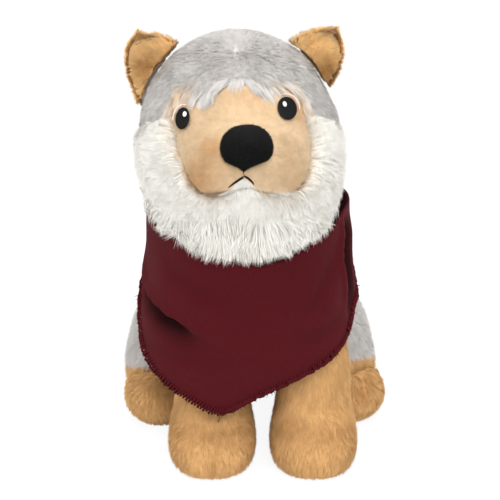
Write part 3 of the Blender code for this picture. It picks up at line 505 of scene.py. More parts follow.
# Bandana, as in the solids but finer: degrees round the neck from straight ahead, positive towards +X
BANDANA_CENTRE = np.array([-0.001, -0.012]) + PLAN_SHIFT[:2]
BANDANA_TOP = [
    (-180, 0.1230), (-90, 0.1215), (-70, 0.1165), (-50, 0.1120), (-25, 0.1070), (8, 0.1030), (33, 0.1080), (48, 0.1130),
    (60, 0.1170), (74, 0.1222), (90, 0.1238), (130, 0.1235),
]
BANDANA_LOW = [
    (-180, 0.1120), (-140, 0.1030), (-115, 0.0890), (-90, 0.0730), (-69, 0.0615), (-48, 0.0490), (-31, 0.0395),
    (-14, 0.0325), (5, 0.0410), (26, 0.0505), (49, 0.0605), (65, 0.0695), (90, 0.0810), (115, 0.0940), (140, 0.1050),
]
# Creases: (degrees, height) from end to end, how far the cloth falls in past one, how far it then stands out, and the
# side its lower edge is on
LEFT_CREASE = [
    (-92, 0.1010), (-84, 0.0900), (-75, 0.0825), (-57, 0.0785), (-39, 0.0740), (-29, 0.0702), (-16, 0.0670),
]
RIGHT_CREASE = [(73, 0.1210), (70, 0.1070), (67, 0.0980), (67, 0.0880), (65, 0.0790), (57, 0.0700)]
CREASES = [(LEFT_CREASE, 0.0110, 0.0012, -1), (RIGHT_CREASE, 0.0070, 0.0024, 1)]
SOFT_FOLDS = [
    ([(-80, 0.0700), (-50, 0.0600), (-20, 0.0560), (8, 0.0580)], 0.0010, 0.0006, -1),
    ([(60, 0.0740), (40, 0.0680), (22, 0.0650)], 0.0010, 0.0008, 1),
    ([(66, 0.1100), (55, 0.0960), (42, 0.0840), (22, 0.0760)], 0.0012, 0.0010, 1),
    ([(-66, 0.1060), (-45, 0.0930), (-20, 0.0860), (0, 0.0850)], 0.0010, 0.0008, -1),
]
CREASE_LIP = 0.0020
CREASE_EDGE = 0.0020
CREASE_WIDTH = 0.0080
ROLL_OFFSET = 0.0105
ROLL_WIDTH = 0.0060
SOFT_OFFSET = 0.0060
SOFT_WIDTH = 0.0050
CLOTH_REACH = 0.05175
CLOTH_THICKNESS = 0.0010
BAND_COLUMNS = 250
BAND_ROWS = 38


def smooth_through(known, at, period=None):
    place = np.array([k[0] for k in known], float)
    value = np.array([k[1] for k in known], float)
    at = np.asarray(at, float)
    if period:
        place = np.concatenate([place - period, place, place + period])
        value = np.concatenate([value, value, value])
        at = (at - known[0][0]) % period + known[0][0]
    gap = np.diff(place)
    slope = np.diff(value) / gap
    tangent = np.zeros_like(value)
    same = slope[:-1] * slope[1:] > 0
    tangent[1:-1] = np.where(same, 2 * slope[:-1] * slope[1:] / np.where(same, slope[:-1] + slope[1:], 1.0), 0.0)
    tangent[0], tangent[-1] = slope[0], slope[-1]
    i = np.clip(np.searchsorted(place, at, side="right") - 1, 0, len(gap) - 1)
    t = np.clip((at - place[i]) / gap[i], 0.0, 1.0)
    return (
        (2 * t**3 - 3 * t**2 + 1) * value[i]
        + (t**3 - 2 * t**2 + t) * tangent[i] * gap[i]
        + (3 * t**2 - 2 * t**3) * value[i + 1]
        + (t**3 - t**2) * tangent[i + 1] * gap[i]
    )


def crease_place(line, angle, height):
    """Distance across a crease, positive on its left, and the share of its length, in the cloth unrolled."""
    knots = np.array([(math.radians(degrees) * CLOTH_REACH, z) for degrees, z in line])
    spot = np.stack([angle * CLOTH_REACH, height], -1)
    length = np.concatenate([[0.0], np.cumsum(np.linalg.norm(np.diff(knots, axis=0), axis=1))])
    nearest = np.full(spot.shape[:-1], np.inf)
    across, share = np.zeros(nearest.shape), np.zeros(nearest.shape)
    for i, (start, end) in enumerate(zip(knots[:-1], knots[1:])):
        run = end - start
        t = np.clip((spot - start) @ run / (run @ run), 0.0, 1.0)
        away = spot - start - t[..., None] * run
        distance = np.linalg.norm(away, axis=-1)
        side = np.sign(run[0] * away[..., 1] - run[1] * away[..., 0])
        closer = distance < nearest
        nearest = np.where(closer, distance, nearest)
        across = np.where(closer, distance * side, across)
        share = np.where(closer, (length[i] + t * (length[i + 1] - length[i])) / length[-1], share)
    return across, share


def fold_shift(angle, height):
    shift = np.zeros(np.shape(angle))
    for line, depth, roll, side in CREASES:
        across, share = crease_place(line, angle, height)
        past = across * side
        fade = step(share, 0.0, 0.25) * step(1 - share, 0.0, 0.45)
        dip = step(past, -CREASE_EDGE / 2, CREASE_EDGE / 2) * np.exp(-(np.maximum(past, 0.0) / CREASE_WIDTH) ** 2)
        lip = np.exp(-(((past + CREASE_EDGE) / CREASE_EDGE) ** 2))
        ridge = np.exp(-(((past - ROLL_OFFSET) / ROLL_WIDTH) ** 2))
        shift = shift + fade * (CREASE_LIP * lip - depth * dip + roll * ridge)
    for line, depth, roll, side in SOFT_FOLDS:
        across, share = crease_place(line, angle, height)
        fade = step(share, 0.0, 0.4) * step(1 - share, 0.0, 0.4)
        ridge = np.exp(-(((across * side - SOFT_OFFSET) / SOFT_WIDTH) ** 2))
        shift = shift + fade * (roll * ridge - depth * np.exp(-((across / SOFT_WIDTH) ** 2)))
    return shift


def fold_shadow(angle, height):
    """How much painted shade darkens the cloth inside its creases, from 0 to 1: where the cloth dips in, and in a band
    past the right crease.
    """
    deep = np.clip(-fold_shift(angle, height) / 0.0060, 0, 1)
    past, share = crease_place(RIGHT_CREASE, angle, height)
    fade = step(share, 0.0, 0.15) * step(1 - share, 0.0, 0.30)
    return np.maximum(deep, fade * step(past, -0.0004, 0.0008) * step(0.0130 - past, 0.0, 0.0045))


def bandana_radius(angle, height):
    c, s = np.cos(angle), np.sin(angle)
    low = step(0.108 - height, 0.0, 0.060)
    along_y = np.where(c > 0, 0.0420 + 0.0130 * low, 0.0460)
    power = 2.0 + 0.8 * low
    half_width = 0.0495 + 0.0045 * low
    return (np.abs(s / half_width) ** power + np.abs(c / along_y) ** power) ** (-1 / power)


def bandana_points(angle, height, lift=0.0):
    """Places on the cloth's middle, moved outwards by lift."""
    flat = np.stack([angle.ravel() * CLOTH_REACH, height.ravel(), 0 * height.ravel()], 1)
    ripple = value_noise(flat, 62.0, 5)[:, 0].reshape(angle.shape)
    radius = bandana_radius(angle, height) + fold_shift(angle, height) + 0.00035 * ripple + lift
    return np.stack(
        [BANDANA_CENTRE[0] + radius * np.sin(angle), BANDANA_CENTRE[1] - radius * np.cos(angle), height], -1
    )


def grid_faces(rows, columns, closed=True, start=0, flip=False):
    """Quads between rows of points, the last column joined to the first if closed."""
    faces = []
    for c in range(columns if closed else columns - 1):
        d = (c + 1) % columns
        for r in range(rows - 1):
            a, b = start + r * columns + c, start + r * columns + d
            face = (a, a + columns, b + columns, b)
            faces.append(face[::-1] if flip else face)
    return faces


def band_shape(columns=BAND_COLUMNS, rows=BAND_ROWS):
    """The band round the neck, with its point in front and a rolled edge above and below."""
    degrees = np.arange(columns) * 360 / columns - 180
    angle = np.radians(degrees)
    top = smooth_through(BANDANA_TOP, degrees, 360)
    low = smooth_through(BANDANA_LOW, degrees, 360)
    share = np.linspace(0, 1, rows)
    height = top[None, :] + (low - top)[None, :] * share[:, None]
    grid_angle = np.broadcast_to(angle, height.shape)
    edge = np.minimum(share, 1 - share)[:, None] * (top - low)[None, :]
    half = CLOTH_THICKNESS / 2 * np.sqrt(np.clip(edge / 0.0008, 0.15, 1))
    outside = bandana_points(grid_angle, height, half)
    inside = bandana_points(grid_angle, height, -half)
    points = np.concatenate([outside.reshape(-1, 3), inside.reshape(-1, 3)])
    back = rows * columns
    faces = grid_faces(rows, columns) + grid_faces(rows, columns, start=back, flip=True)
    for c in range(columns):
        d = (c + 1) % columns
        a, b = (rows - 1) * columns + c, (rows - 1) * columns + d
        faces.append((a, back + a, back + b, b))
        faces.append((d, back + d, back + c, c))
    return points, faces


KNOT = np.array([BANDANA_CENTRE[0], BANDANA_CENTRE[1] + 0.0460 + 0.0030, 0.1195])


def knot_shapes():
    """The knot behind the neck, wrapped by one turn of the cloth, and its two creased ends."""
    shapes = []
    rows, columns = 22, 36
    for tilt, size in ((0.35, (0.0088, 0.0064, 0.0077)), (-0.45, (0.0060, 0.0069, 0.0070))):
        v, u = np.meshgrid(np.pi * np.arange(rows + 1) / rows, 2 * np.pi * np.arange(columns) / columns, indexing="ij")
        ball = np.stack([np.sin(v) * np.cos(u), np.sin(v) * np.sin(u), np.cos(v)], -1).reshape(-1, 3)
        groove = 1 - 0.045 * (0.5 + 0.5 * np.cos(7 * (ball[:, 2:] + 0.6 * ball[:, :1])))
        shapes.append((ball * groove * size @ turn(tilt, "Y") + KNOT, grid_faces(rows + 1, columns)))
    for out, drop in ((-1, 0.013), (1, 0.016)):
        steps, across = 26, 13
        front, rear = [], []
        for i in range(steps):
            share = i / (steps - 1)
            centre = KNOT + (out * (0.001 + 0.020 * share), 0.0075 * math.sin(1.9 * share), -drop * share**1.6)
            half = 0.0024 + 0.0062 * math.sin(math.pi * min(1.0, share * 0.62 + 0.06))
            half *= 1.0 if share < 0.97 else 0.9
            lean = out * (0.35 + 0.5 * share)
            flat = np.array([math.sin(lean), 0.0, math.cos(lean)])
            for j in range(across):
                u = 2 * j / (across - 1) - 1
                wave = 0.0011 * math.cos(u * 5.0 + 0.7 * out) * (1 - 0.5 * share) + 0.0010 * (1 - u * u)
                spot = centre + flat * half * u
                front.append(spot + (0, wave + CLOTH_THICKNESS / 2, 0))
                rear.append(spot + (0, wave - CLOTH_THICKNESS / 2, 0))
        n = steps * across
        faces = grid_faces(steps, across, closed=False, flip=True) + grid_faces(steps, across, closed=False, start=n)
        rim = list(range(across)) + [i * across + across - 1 for i in range(1, steps)]
        rim += [(steps - 1) * across + j for j in range(across - 2, -1, -1)]
        rim += [i * across for i in range(steps - 2, 0, -1)]
        faces += [(a, n + a, n + b, b) for a, b in zip(rim, rim[1:] + rim[:1])]
        shapes.append((np.array(front + rear), faces if out < 0 else [f[::-1] for f in faces]))
    return shapes


def join_shapes(name, shapes, *materials):
    placed, loops, starts, offset = [], [], [], 0
    for points, faces in shapes:
        placed.append(points)
        for face in faces:
            starts.append(len(loops))
            loops.extend(offset + v for v in face)
        offset += len(points)
    placed = np.concatenate(placed)
    mesh = build_mesh(name, placed, loops, starts)
    mesh.shade_smooth()
    return link(name, mesh, *materials), placed, np.asarray(loops)


def build_bandana():
    piece, placed, loops = join_shapes("bandana_cloth", [band_shape()] + knot_shapes(), cloth_material())
    layer = piece.data.uv_layers.new(name="weave")
    around = np.arctan2(placed[:, 0] - BANDANA_CENTRE[0], -(placed[:, 1] - BANDANA_CENTRE[1]))
    flat = np.stack([around * CLOTH_REACH, placed[:, 2]], 1) * 10
    layer.data.foreach_set("uv", flat[loops].astype(np.float32).ravel())
    # painted shade in the creases, on the band only and not on the knot
    depth = fold_shadow(around, placed[:, 2]) * (np.arange(len(placed)) < 2 * BAND_COLUMNS * BAND_ROWS)
    shade = piece.data.color_attributes.new("fold_painted_shade", "FLOAT_COLOR", "POINT")
    shade.data.foreach_set("color", np.repeat(1 - 0.78 * depth[:, None], 4, axis=1).astype(np.float32).ravel())
    return keep_with(piece, "bandana")


def tube(path, radius, sides=5):
    """A closed tube along a path of points."""
    path = np.asarray(path)
    along = unit(np.gradient(path, axis=0))
    other = unit(np.cross(along, np.array([0.13, 0.21, 0.97])))
    third = np.cross(along, other)
    a = np.arange(sides) * 2 * math.pi / sides
    ring = np.cos(a)[None, :, None] * other[:, None, :] + np.sin(a)[None, :, None] * third[:, None, :]
    points = (path[:, None, :] + ring * np.broadcast_to(radius, len(path))[:, None, None]).reshape(-1, 3)
    faces = grid_faces(len(path), sides, flip=True)
    faces.append(tuple(range(sides))[::-1])
    faces.append(tuple((len(path) - 1) * sides + j for j in range(sides)))
    return points, faces


OVERLOCK_TURNS = 260
OVERLOCK_POINTS = 9


def build_overlock():
    """Thread looped over the bandana's lower edge, with short fibres and a few loose ends at the point."""
    local = np.random.default_rng(21)
    at = np.linspace(-180, 180, OVERLOCK_TURNS * OVERLOCK_POINTS, endpoint=False)
    low = smooth_through(BANDANA_LOW, at, 360)
    angle = np.radians(at)
    phase = np.arange(len(at)) * 2 * math.pi / OVERLOCK_POINTS
    wobble = np.repeat(local.uniform(0.8, 1.25, OVERLOCK_TURNS), OVERLOCK_POINTS)
    radial = np.stack([np.sin(angle), -np.cos(angle), np.zeros(len(at))], 1)
    around = np.stack([np.cos(angle), np.sin(angle), np.zeros(len(at))], 1)
    rise = 0.0009 + 0.0017 * np.sin(phase) * wobble
    path = bandana_points(angle, low) + radial * (0.00150 * np.cos(phase) * wobble)[:, None]
    path = path + np.array([0, 0, 1.0]) * rise[:, None] + around * (0.0007 * np.sin(phase))[:, None]
    shapes = [tube(np.vstack([path, path[:1]]), 0.00058, 5)]
    for _ in range(320):
        start = local.integers(0, len(at))
        way = radial[start] * local.uniform(0.2, 1.0) - np.array([0, 0, 1.0]) * local.uniform(0.2, 1.2)
        way = unit(way + local.normal(size=3) * 0.5)
        size = local.uniform(0.0008, 0.0022)
        bend = unit(np.cross(way, local.normal(size=3)))
        line = [path[start] + way * size * s + bend * size * 0.5 * s * s for s in np.linspace(0, 1, 4)]
        shapes.append(tube(line, np.linspace(0.00020, 0.00010, 4), 3))
    point = int(np.argmin(low))
    for k, (dx, dz) in enumerate(((-0.0030, -0.0016), (0.0010, -0.0030), (0.0034, -0.0014))):
        root = path[(point + (k - 1) * 14) % len(path)]
        s = np.linspace(0, 1, 12)
        x, y, z = dx * s + 0.0006 * np.sin(5 * s + k), -0.0010 * np.sin(math.pi * s) - 0.0006, dz * np.sin(1.9 * s)
        shapes.append(tube(root + np.stack([x, y, z], 1), 0.00015, 4))
    thread = thread_material("overlock_thread", (0.090, 0.0085, 0.0120), (0.045, 0.0045, 0.0070), 0.8, 2600.0, 0.05)
    piece, _, _ = join_shapes("bandana_overlock_thread", shapes, thread)
    return keep_with(piece, "bandana_overlock")


bandana = build_bandana()
overlock = build_overlock()
cloth = Obstacles(*read_mesh(bandana.data))

# Crown: swept forwards over the brow, where it ends in pale tufts
HEAD_MIDDLE = HEAD + from_head((0, 0.004, 0.0))
near_brow, near_crown_edge = nearness("face_panel", 0.0050), nearness("crown_panel", 0.0060)
near_crown, near_face = nearness("crown_panel", 0.0030), nearness("face_panel", 0.0032)
near_ruff = nearness("cheek_ruff", 0.0030)


WHORL = np.array([0.004, -0.020, 0.048])


def crown_comb(p, n):
    whorl = head_frame(p) - WHORL
    far = np.linalg.norm(whorl, axis=1, keepdims=True)
    stray = value_noise(p, 210.0, 35) * (0.35 + 0.8 * np.exp(-((far / 0.013) ** 2)))
    return from_head(whorl / (far + 0.004) + np.array([0.0, 0.0, -0.25])) + stray


near_ears = [nearness(side + "_ear_back", 0.0055) for side in ("left", "right")]


def crown_length(p, n):
    beside_ear = np.max([near(p) for near in near_ears], axis=0)
    return 0.0040 + 0.0026 * near_face(p) + 0.0024 * beside_ear


def crown_height(p, n):
    return 0.40 - 0.10 * near_face(p)


# The face's tan goes on round the outer sides of the eyes
EYE_TAN = [
    ((-0.0385, -0.0457, 0.1759), 0.0042, 0.8), ((-0.036, -0.0438, 0.181), 0.004, 0.75),
    ((-0.0313, -0.0457, 0.1835), 0.0036, 0.55), ((0.0116, -0.0474, 0.1834), 0.0042, 0.75),
    ((0.0177, -0.0428, 0.1816), 0.0042, 0.8), ((0.0219, -0.0439, 0.1756), 0.0038, 0.7),
]


def with_tan(light, dark, p):
    return mixed((light, dark), (FACE, FACE_DARK), np.clip(patches(p, EYE_TAN), 0, 1))


def crown_colour(p, n):
    patch = value_noise(p, 150.0, 31)[:, 0] + 0.6 * value_noise(p, 420.0, 32)[:, 0]
    # painted shade: darker over the top of the head and the whorl, where the strands stand towards the light from above
    top = step(head_frame(p)[:, 2], 0.030, 0.052) + 0.5 * patches(p, [(HEAD + from_head(WHORL), 0.0075, 1.0)])
    return with_tan(*blend_colours(GREY, GREY_DARK, 0.12 + 0.12 * patch + 0.36 * top), p)


def brow_colour(p, n):
    patch = value_noise(p, 300.0, 33)[:, 0]
    light, dark = blend_colours(GREY, GREY_DARK, 0.10 + 0.15 * patch)
    return with_tan(light * 0.90 + np.array(WHITE) * 0.10, dark, p)


crown_sink = plush("crown_panel", "grey", 130000, crown_length, crown_height, centre=HEAD_MIDDLE, width=0.00036,
                   comb=crown_comb, colour=crown_colour, sway=0.5, curl=0.40, clump=0.0019, mottle=0.07)
grow("crown_panel", "grey", 11500, "_brow", length=constant(0.0098), height=constant(0.28), width=0.00044, knees=True,
     comb=lambda p, n: crown_comb(p, n) + np.array([0, -0.2, -0.7]), colour=brow_colour, sink=crown_sink, clump=0.0040,
     tightness=0.85, spread=0.6, sway=0.5,
     keep=lambda p, n: outside_of(HEAD_MIDDLE, 0.0)(p, n) * step(near_brow(p), 0.10, 0.5))

# Cheeks and throat: outwards from the face, then down over the bandana
MOUTH = np.array([0.0, -0.060, -0.016])


def near_mouth(p):
    return np.exp(-np.sum(((head_frame(p) - MOUTH) / 0.014) ** 2, axis=1))


def ruff_comb(p, n):
    local = head_frame(p)
    out = unit(local * np.array([1.0, 0.15, 1.0]) + np.array([0.0, 0.0, 0.004]))
    fall = 0.1 + 0.5 * step(-local[:, 2], -0.006, 0.020)
    return from_head(out) + np.stack([np.zeros(len(p)), np.full(len(p), 0.2), -fall], 1)


def ruff_colour(p, n):
    patch = value_noise(p, 130.0, 41)[:, 0]
    # painted shade: the ruff darker low down, under the chin and over the bandana
    low = step(0.128 - p[:, 2], 0.0, 0.020)
    pair = blend_colours(WHITE, WHITE_DARK, 0.08 + 0.12 * patch + 0.20 * low)
    return mixed(pair, (FACE, FACE), 0.30 * near_face(p) * (1 - near_mouth(p)))


# How far the fur hangs over the bandana's top edge: degrees round the neck, metres
OVERHANG = [(-180, 0.0040), (-60, 0.0060), (-20, 0.0048), (4, 0.0020), (16, 0.0001), (180, 0.0001)]


def above_cloth(p):
    """How far a strand may hang from a place before it passes the edge of the fur over the bandana."""
    angle = np.arctan2(p[:, 0] - BANDANA_CENTRE[0], -(p[:, 1] - BANDANA_CENTRE[1]))
    degrees = np.degrees(angle)
    top = smooth_through(BANDANA_TOP, degrees, 360)
    below = p[:, 2] < top
    behind = bandana_radius(angle, p[:, 2]) - np.linalg.norm(p[:, :2] - BANDANA_CENTRE, axis=1) > 0.001
    over = smooth_through(OVERHANG, degrees) + 0.008 * behind * below
    return p[:, 2] - top + over


def ruff_length(p, n):
    return np.minimum(0.0082 - 0.0050 * near_mouth(p) - 0.0030 * near_crown_edge(p), np.maximum(above_cloth(p), 0.0024))


def hang(p, n):
    """The height at which a strand on an overhang points straight down."""
    return np.clip(0.10 - n[:, 2], 0.30, 0.90)


ruff_sink = plush("cheek_ruff", "white", 120000, ruff_length, constant(0.34), centre=HEAD_MIDDLE, width=0.00038,
                  comb=ruff_comb, colour=ruff_colour, obstacles=cloth, clump=0.0030, tightness=0.34, curl=0.40,
                  sway=0.45)
grow("cheek_ruff", "white", 21000, "_fringe", length=lambda p, n: np.clip(above_cloth(p), 0.002, 0.0125), height=hang,
     width=0.00044, knees=True, comb=lambda p, n: ruff_comb(p, n) + np.array([0, 0, -1.0]), colour=ruff_colour,
     sink=ruff_sink, clump=0.0030, tightness=0.40, obstacles=cloth, sway=0.7, curl=0.6, spread=0.5,
     keep=lambda p, n: outside_of(HEAD_MIDDLE)(p, n) * step(0.131 - p[:, 2], 0.0, 0.008) * (above_cloth(p) > 0.002)
     * (p[:, 1] < 0.0))

# Face: outwards from the nose, short beside the embroidery
NOSE = np.array([0.0018, -0.066, 0.002])
near_trim = [nearness(node, 0.0022) for node in ("left_eye", "right_eye", "nose_pad")]
near_stitch = [nearness(node, 0.0018) for node in ("left_mouth_stitch", "right_mouth_stitch", "philtrum_stitch")]
# Darker patches, (place, radius, strength) each: painted shade on the forehead, down the sides of the muzzle and in the
# crease from the left eye to the nose, deeper on the left, away from the light; darker tan beside the eyes and low on
# the muzzle
FACE_PAINTED_SHADE_AND_TONE = [
    ((-0.0044, -0.0564, 0.1799), 0.0200, 0.24), ((-0.0219, -0.0859, 0.1559), 0.0110, 0.52),
    ((0.0157, -0.0810, 0.1549), 0.0100, 0.26), ((-0.0385, -0.0485, 0.1719), 0.0070, 0.62),
    ((0.0220, -0.0496, 0.1722), 0.0070, 0.50), ((-0.0253, -0.0669, 0.1667), 0.0036, 0.34),
    ((-0.0218, -0.0766, 0.1662), 0.0036, 0.34), ((-0.0172, -0.0847, 0.1647), 0.0036, 0.28),
    ((-0.0272, -0.0780, 0.1470), 0.0090, 0.62), ((0.0200, -0.0740, 0.1432), 0.0090, 0.28),
    ((-0.0172, -0.0809, 0.1673), 0.0050, 0.35), ((0.0117, -0.0749, 0.1676), 0.0050, 0.15),
]


def face_comb(p, n):
    return from_head(unit((head_frame(p) - NOSE) * np.array([1.0, 0.6, 1.0])))


stitches = {name: surface_of(name)[0] for name in ("left_mouth_stitch", "right_mouth_stitch", "philtrum_stitch")}
apart = np.linalg.norm(stitches["left_mouth_stitch"][:, None] - stitches["right_mouth_stitch"][None], axis=2)
left_end, right_end = np.unravel_index(apart.argmin(), apart.shape)
MOUTH_TOP = (stitches["left_mouth_stitch"][left_end] + stitches["right_mouth_stitch"][right_end]) / 2
MOUTH_TOP = MOUTH_TOP + from_head((0, 0, 0.0007))
# Below this line, across and up from the mouth's top, the fur is white
MOUTH_LINE = [
    (-0.030, -0.0120), (-0.017, -0.0105), (-0.0085, -0.0065), (0.0, 0.0), (0.0056, -0.0060), (0.009, -0.0068),
    (0.028, -0.0105),
]


def under_mouth(p):
    """1 below the mouth's stitches, where the fur is white."""
    local = head_frame(p) - head_frame(MOUTH_TOP)
    return step(smooth_through(MOUTH_LINE, local[:, 0]) - local[:, 2], -0.0005, 0.0009)


def face_colour(p, n):
    patch = value_noise(p, 120.0, 51)[:, 0] * 0.08 + value_noise(p, 500.0, 52)[:, 0] * 0.05
    # painted shade and darker tan from the face's patches
    pair = blend_colours(FACE, FACE_DARK, 0.06 + patches(p, FACE_PAINTED_SHADE_AND_TONE) + patch)
    return mixed(pair, (WHITE, WHITE), np.maximum(0.42 * near_ruff(p), under_mouth(p)))


def face_length(p, n):
    beside = np.max([near(p) for near in near_trim], axis=0)
    stitch = np.max([near(p) for near in near_stitch], axis=0)
    return (0.0034 + 0.0022 * near_ruff(p)) * (1 - 0.5 * beside) * (1 - 0.75 * stitch)


face_sink = plush("face_panel", "face", 76000, face_length, lambda p, n: 0.42 - 0.12 * near_ruff(p), centre=HEAD_MIDDLE,
                  width=0.00036, comb=face_comb, colour=face_colour, clump=0.0022)
grow("face_panel", "face", 9000, "_edge", length=constant(0.0062), height=constant(0.34), width=0.00040, knees=True,
     comb=face_comb, colour=face_colour, sink=face_sink, clump=0.0028, tightness=0.6, spread=0.6, sway=0.45, curl=0.3,
     keep=lambda p, n: outside_of(HEAD_MIDDLE, 0.0)(p, n) * step(near_ruff(p), 0.25, 0.7) * (1 - near_mouth(p)))

# Ears, cupped as in the solids: tan inside and round the rim, grey behind; the two layers close up at the rim
EAR_BASE = np.array([(-0.0408, 0.004, 0.1785), (0.0292, 0.004, 0.1865)]) + PLAN_SHIFT
EAR_TIP = np.array([(-0.0522, 0.001, 0.2005), (0.0402, 0.001, 0.2028)]) + PLAN_SHIFT
EAR_ACROSS = np.array([(0.50, -0.10, 0.86), (0.78, 0.10, -0.62)])
EAR_HALF_WIDTH = (0.0165, 0.0133)
EAR_HOLLOW = [(-0.0514, -0.0117, 0.1850), (0.0342, -0.0104, 0.1830)]
EAR_CORNER = [((-0.0590, -0.013, 0.1960), (-0.0022, 0.0, 0.0016)), ((0.0400, -0.012, 0.1990), (0.0, 0.0, 0.0010))]


def make_ear(i, side):
    up = EAR_TIP[i] - EAR_BASE[i]
    long = up @ up
    across = unit(EAR_ACROSS[i] - up * (EAR_ACROSS[i] @ up) / long)
    ahead = unit(np.cross(across, up))
    ahead = -ahead if ahead[1] > 0 else ahead
    start = EAR_BASE[i] - 0.30 * up
    middle = start + 0.75 * up
    corner, corner_push = np.array(EAR_CORNER[i])
    inner = 1 if i == 0 else -1

    def place(p):
        """Places in an ear: across from -1 to 1, up from 0 to 1, and nearness to the rim."""
        v = np.clip((p - start) @ up / long / 1.30, 0, 1)
        half = EAR_HALF_WIDTH[i] * (1.0 - 0.12 * v) * np.sqrt(np.maximum(0.02, 1 - v**3.2)) + 0.0012
        u = (p - start) @ across / half
        return u, v, np.clip(np.maximum(np.abs(u), v), 0, 1) ** 4

    def upper_side(p):
        """0 at the lower outer edge, 1 elsewhere."""
        return step(place(p)[0] * inner, -0.9, -0.1)

    def crown_side(p):
        """1 at the lower part of the edge next to the crown, 0 elsewhere."""
        u, v, _ = place(p)
        return step(u * inner, 0.3, 0.9) * (1 - step(v, 0.50, 0.85))

    def drawn_in(forward, wider):
        """Closes the rim: forward along the ear's front, wider outwards."""

        def sink(p, n):
            spread = wider - 0.0012 * (1 - upper_side(p)) + 0.0015 * crown_side(p)
            outwards = p - middle
            outwards = unit(outwards - (outwards @ ahead)[:, None] * ahead)
            push = np.exp(-np.sum((p - corner) ** 2, axis=1) / 0.0075**2)[:, None] * corner_push
            return n * 0.0006 - (ahead * forward + outwards * spread[:, None]) * place(p)[2][:, None] - push

        return sink

    def lining_colour(p, n):
        patch = value_noise(p, 220.0, 71)[:, 0] * 0.10 + value_noise(p, 800.0, 72)[:, 0] * 0.08
        rim = place(p)[2]
        # painted shade deep in the ear's hollow; lighter along the rim: pale fur tips, with painted light against the
        # shadow between lining and back
        shade = 0.18 - 0.14 * rim + patch + patches(p, [(EAR_HOLLOW[i], 0.0075, 0.78)])
        light, dark = blend_colours(LINING, LINING_DARK, shade)
        return mixed((light, dark * (1 - rim[:, None]) + light * rim[:, None]), (WHITE, WHITE), 0.16 * rim)

    def back_colour(p, n):
        grey = step(-(n @ ahead), -0.1, 0.3) + step(place(p)[0] * inner, 0.45, 0.85) + near_crown(p)
        return mixed(lining_colour(p, n), crown_colour(p, n), np.clip(grey, 0, 1))

    for part, kind, forward, wider, colour, seen in (
        ("_ear_back", "grey", 0.0010, -0.0020, back_colour, -1),
        ("_ear_lining", "face", -0.0021, 0.0012, lining_colour, 1),
    ):
        sink = drawn_in(forward, wider)
        skin(side + part, kind, sink)
        grow(side + part, kind, 18000,
             length=lambda p, n: 0.0030 + 0.0022 * place(p)[2] * (0.30 + 0.70 * upper_side(p)), height=constant(0.36),
             width=0.00036, comb=lambda p, n: unit(p - EAR_BASE[i]), colour=colour, sink=sink,
             lean_to=ahead * seen * 0.9, clump=0.0020, tightness=0.45, curl=0.4, sway=0.4, spread=0.4, mottle=0.08,
             keep=lambda p, n: ((n @ ahead) * seen > -0.35) + 0.6 * (place(p)[2] > 0.5))


for i, side in enumerate(("left", "right")):
    make_ear(i, side)

# Nose: short black plush
NOSE_POINT = MOUTH_TOP + from_head((0.0024, -0.0010, 0.0028))
nose_length, nose_height, nose_middle = constant(0.0017), constant(0.55), HEAD + from_head((0, -0.050, 0))
nose_sunk = sunk(nose_length, nose_height, nose_middle)


def nose_sink(p, n):
    """The depth of the pile, and the nose's lower point drawn over to meet the stitches."""
    return nose_sunk(p, n) + patches(p, [(NOSE_POINT, 0.0050, 1.0)])[:, None] * from_head((0.0026, 0.0003, 0.0))


skin("nose_pad", "black", nose_sink)
grow("nose_pad", "black", 15000, length=nose_length, height=nose_height, sink=nose_sink, keep=outside_of(nose_middle),
      width=0.00028, comb=lambda p, n: from_head(unit((head_frame(p) - NOSE) * np.array([1.0, 0.3, 1.0]))),
      colour=lambda p, n: blend_colours(BLACK, (0.003, 0.003, 0.003), np.full(len(p), 0.2)), clump=0.0014)


# Embroidery and filling
def drawn_to(node, near_target, far_target=None):
    """Moves a stitch's two ends, the one nearer the mouth's top first, and lifts it out of the pile."""
    far = np.linalg.norm(stitches[node] - MOUTH_TOP, axis=1)
    near_end, far_end = stitches[node][far.argmin()], stitches[node][far.argmax()]
    line = near_end - far_end
    other = np.zeros(3) if far_target is None else far_target - far_end

    def sink(p, n):
        share = np.clip((p - far_end) @ line / (line @ line), 0, 1)[:, None]
        return from_head((0, 0.0007, 0)) - share**2 * (near_target - near_end) - (1 - share) ** 2 * other

    return sink


def raised(amount):
    """Out of the face by this much."""
    return lambda p, n: np.broadcast_to(from_head((0, amount, 0)), p.shape)


for side in ("left", "right"):
    skin(side + "_eye", "black_thread", levels=2)
    skin(side + "_eye_highlight", "white_thread", levels=2)
    skin(side + "_eye_rim", "rim_thread", raised(0.0002), levels=2)
    skin(side + "_mouth_stitch", "black_thread", drawn_to(side + "_mouth_stitch", MOUTH_TOP), levels=2)
UPPER_END = MOUTH_TOP + from_head((0.0, -0.0006, 0.0042))
skin("philtrum_stitch", "black_thread", drawn_to("philtrum_stitch", MOUTH_TOP, UPPER_END), levels=2)
skin("head_stuffing", "filling")
skin("torso_stuffing", "filling")

# Torso
TORSO_MIDDLE = np.array([0.0, 0.024, 0.060]) + PLAN_SHIFT


def off_floor(p, n):
    return ((p[:, 2] > 0.0012) | (n[:, 2] > -0.5)).astype(float)


plush("back_panel", "grey", 48000, constant(0.0066), constant(0.40), centre=TORSO_MIDDLE, fill=0.8, width=0.00046,
      keep=lambda p, n: outside_of(TORSO_MIDDLE)(p, n) * off_floor(p, n), comb=towards(0, 0.35, -1),
      colour=crown_colour, clump=0.0030, obstacles=cloth)
plush("chest_panel", "white", 14000, constant(0.0066), constant(0.40), centre=TORSO_MIDDLE, fill=0.8, width=0.0006,
      comb=towards(0, -0.2, -1), colour=ruff_colour, clump=0.0034, obstacles=cloth)

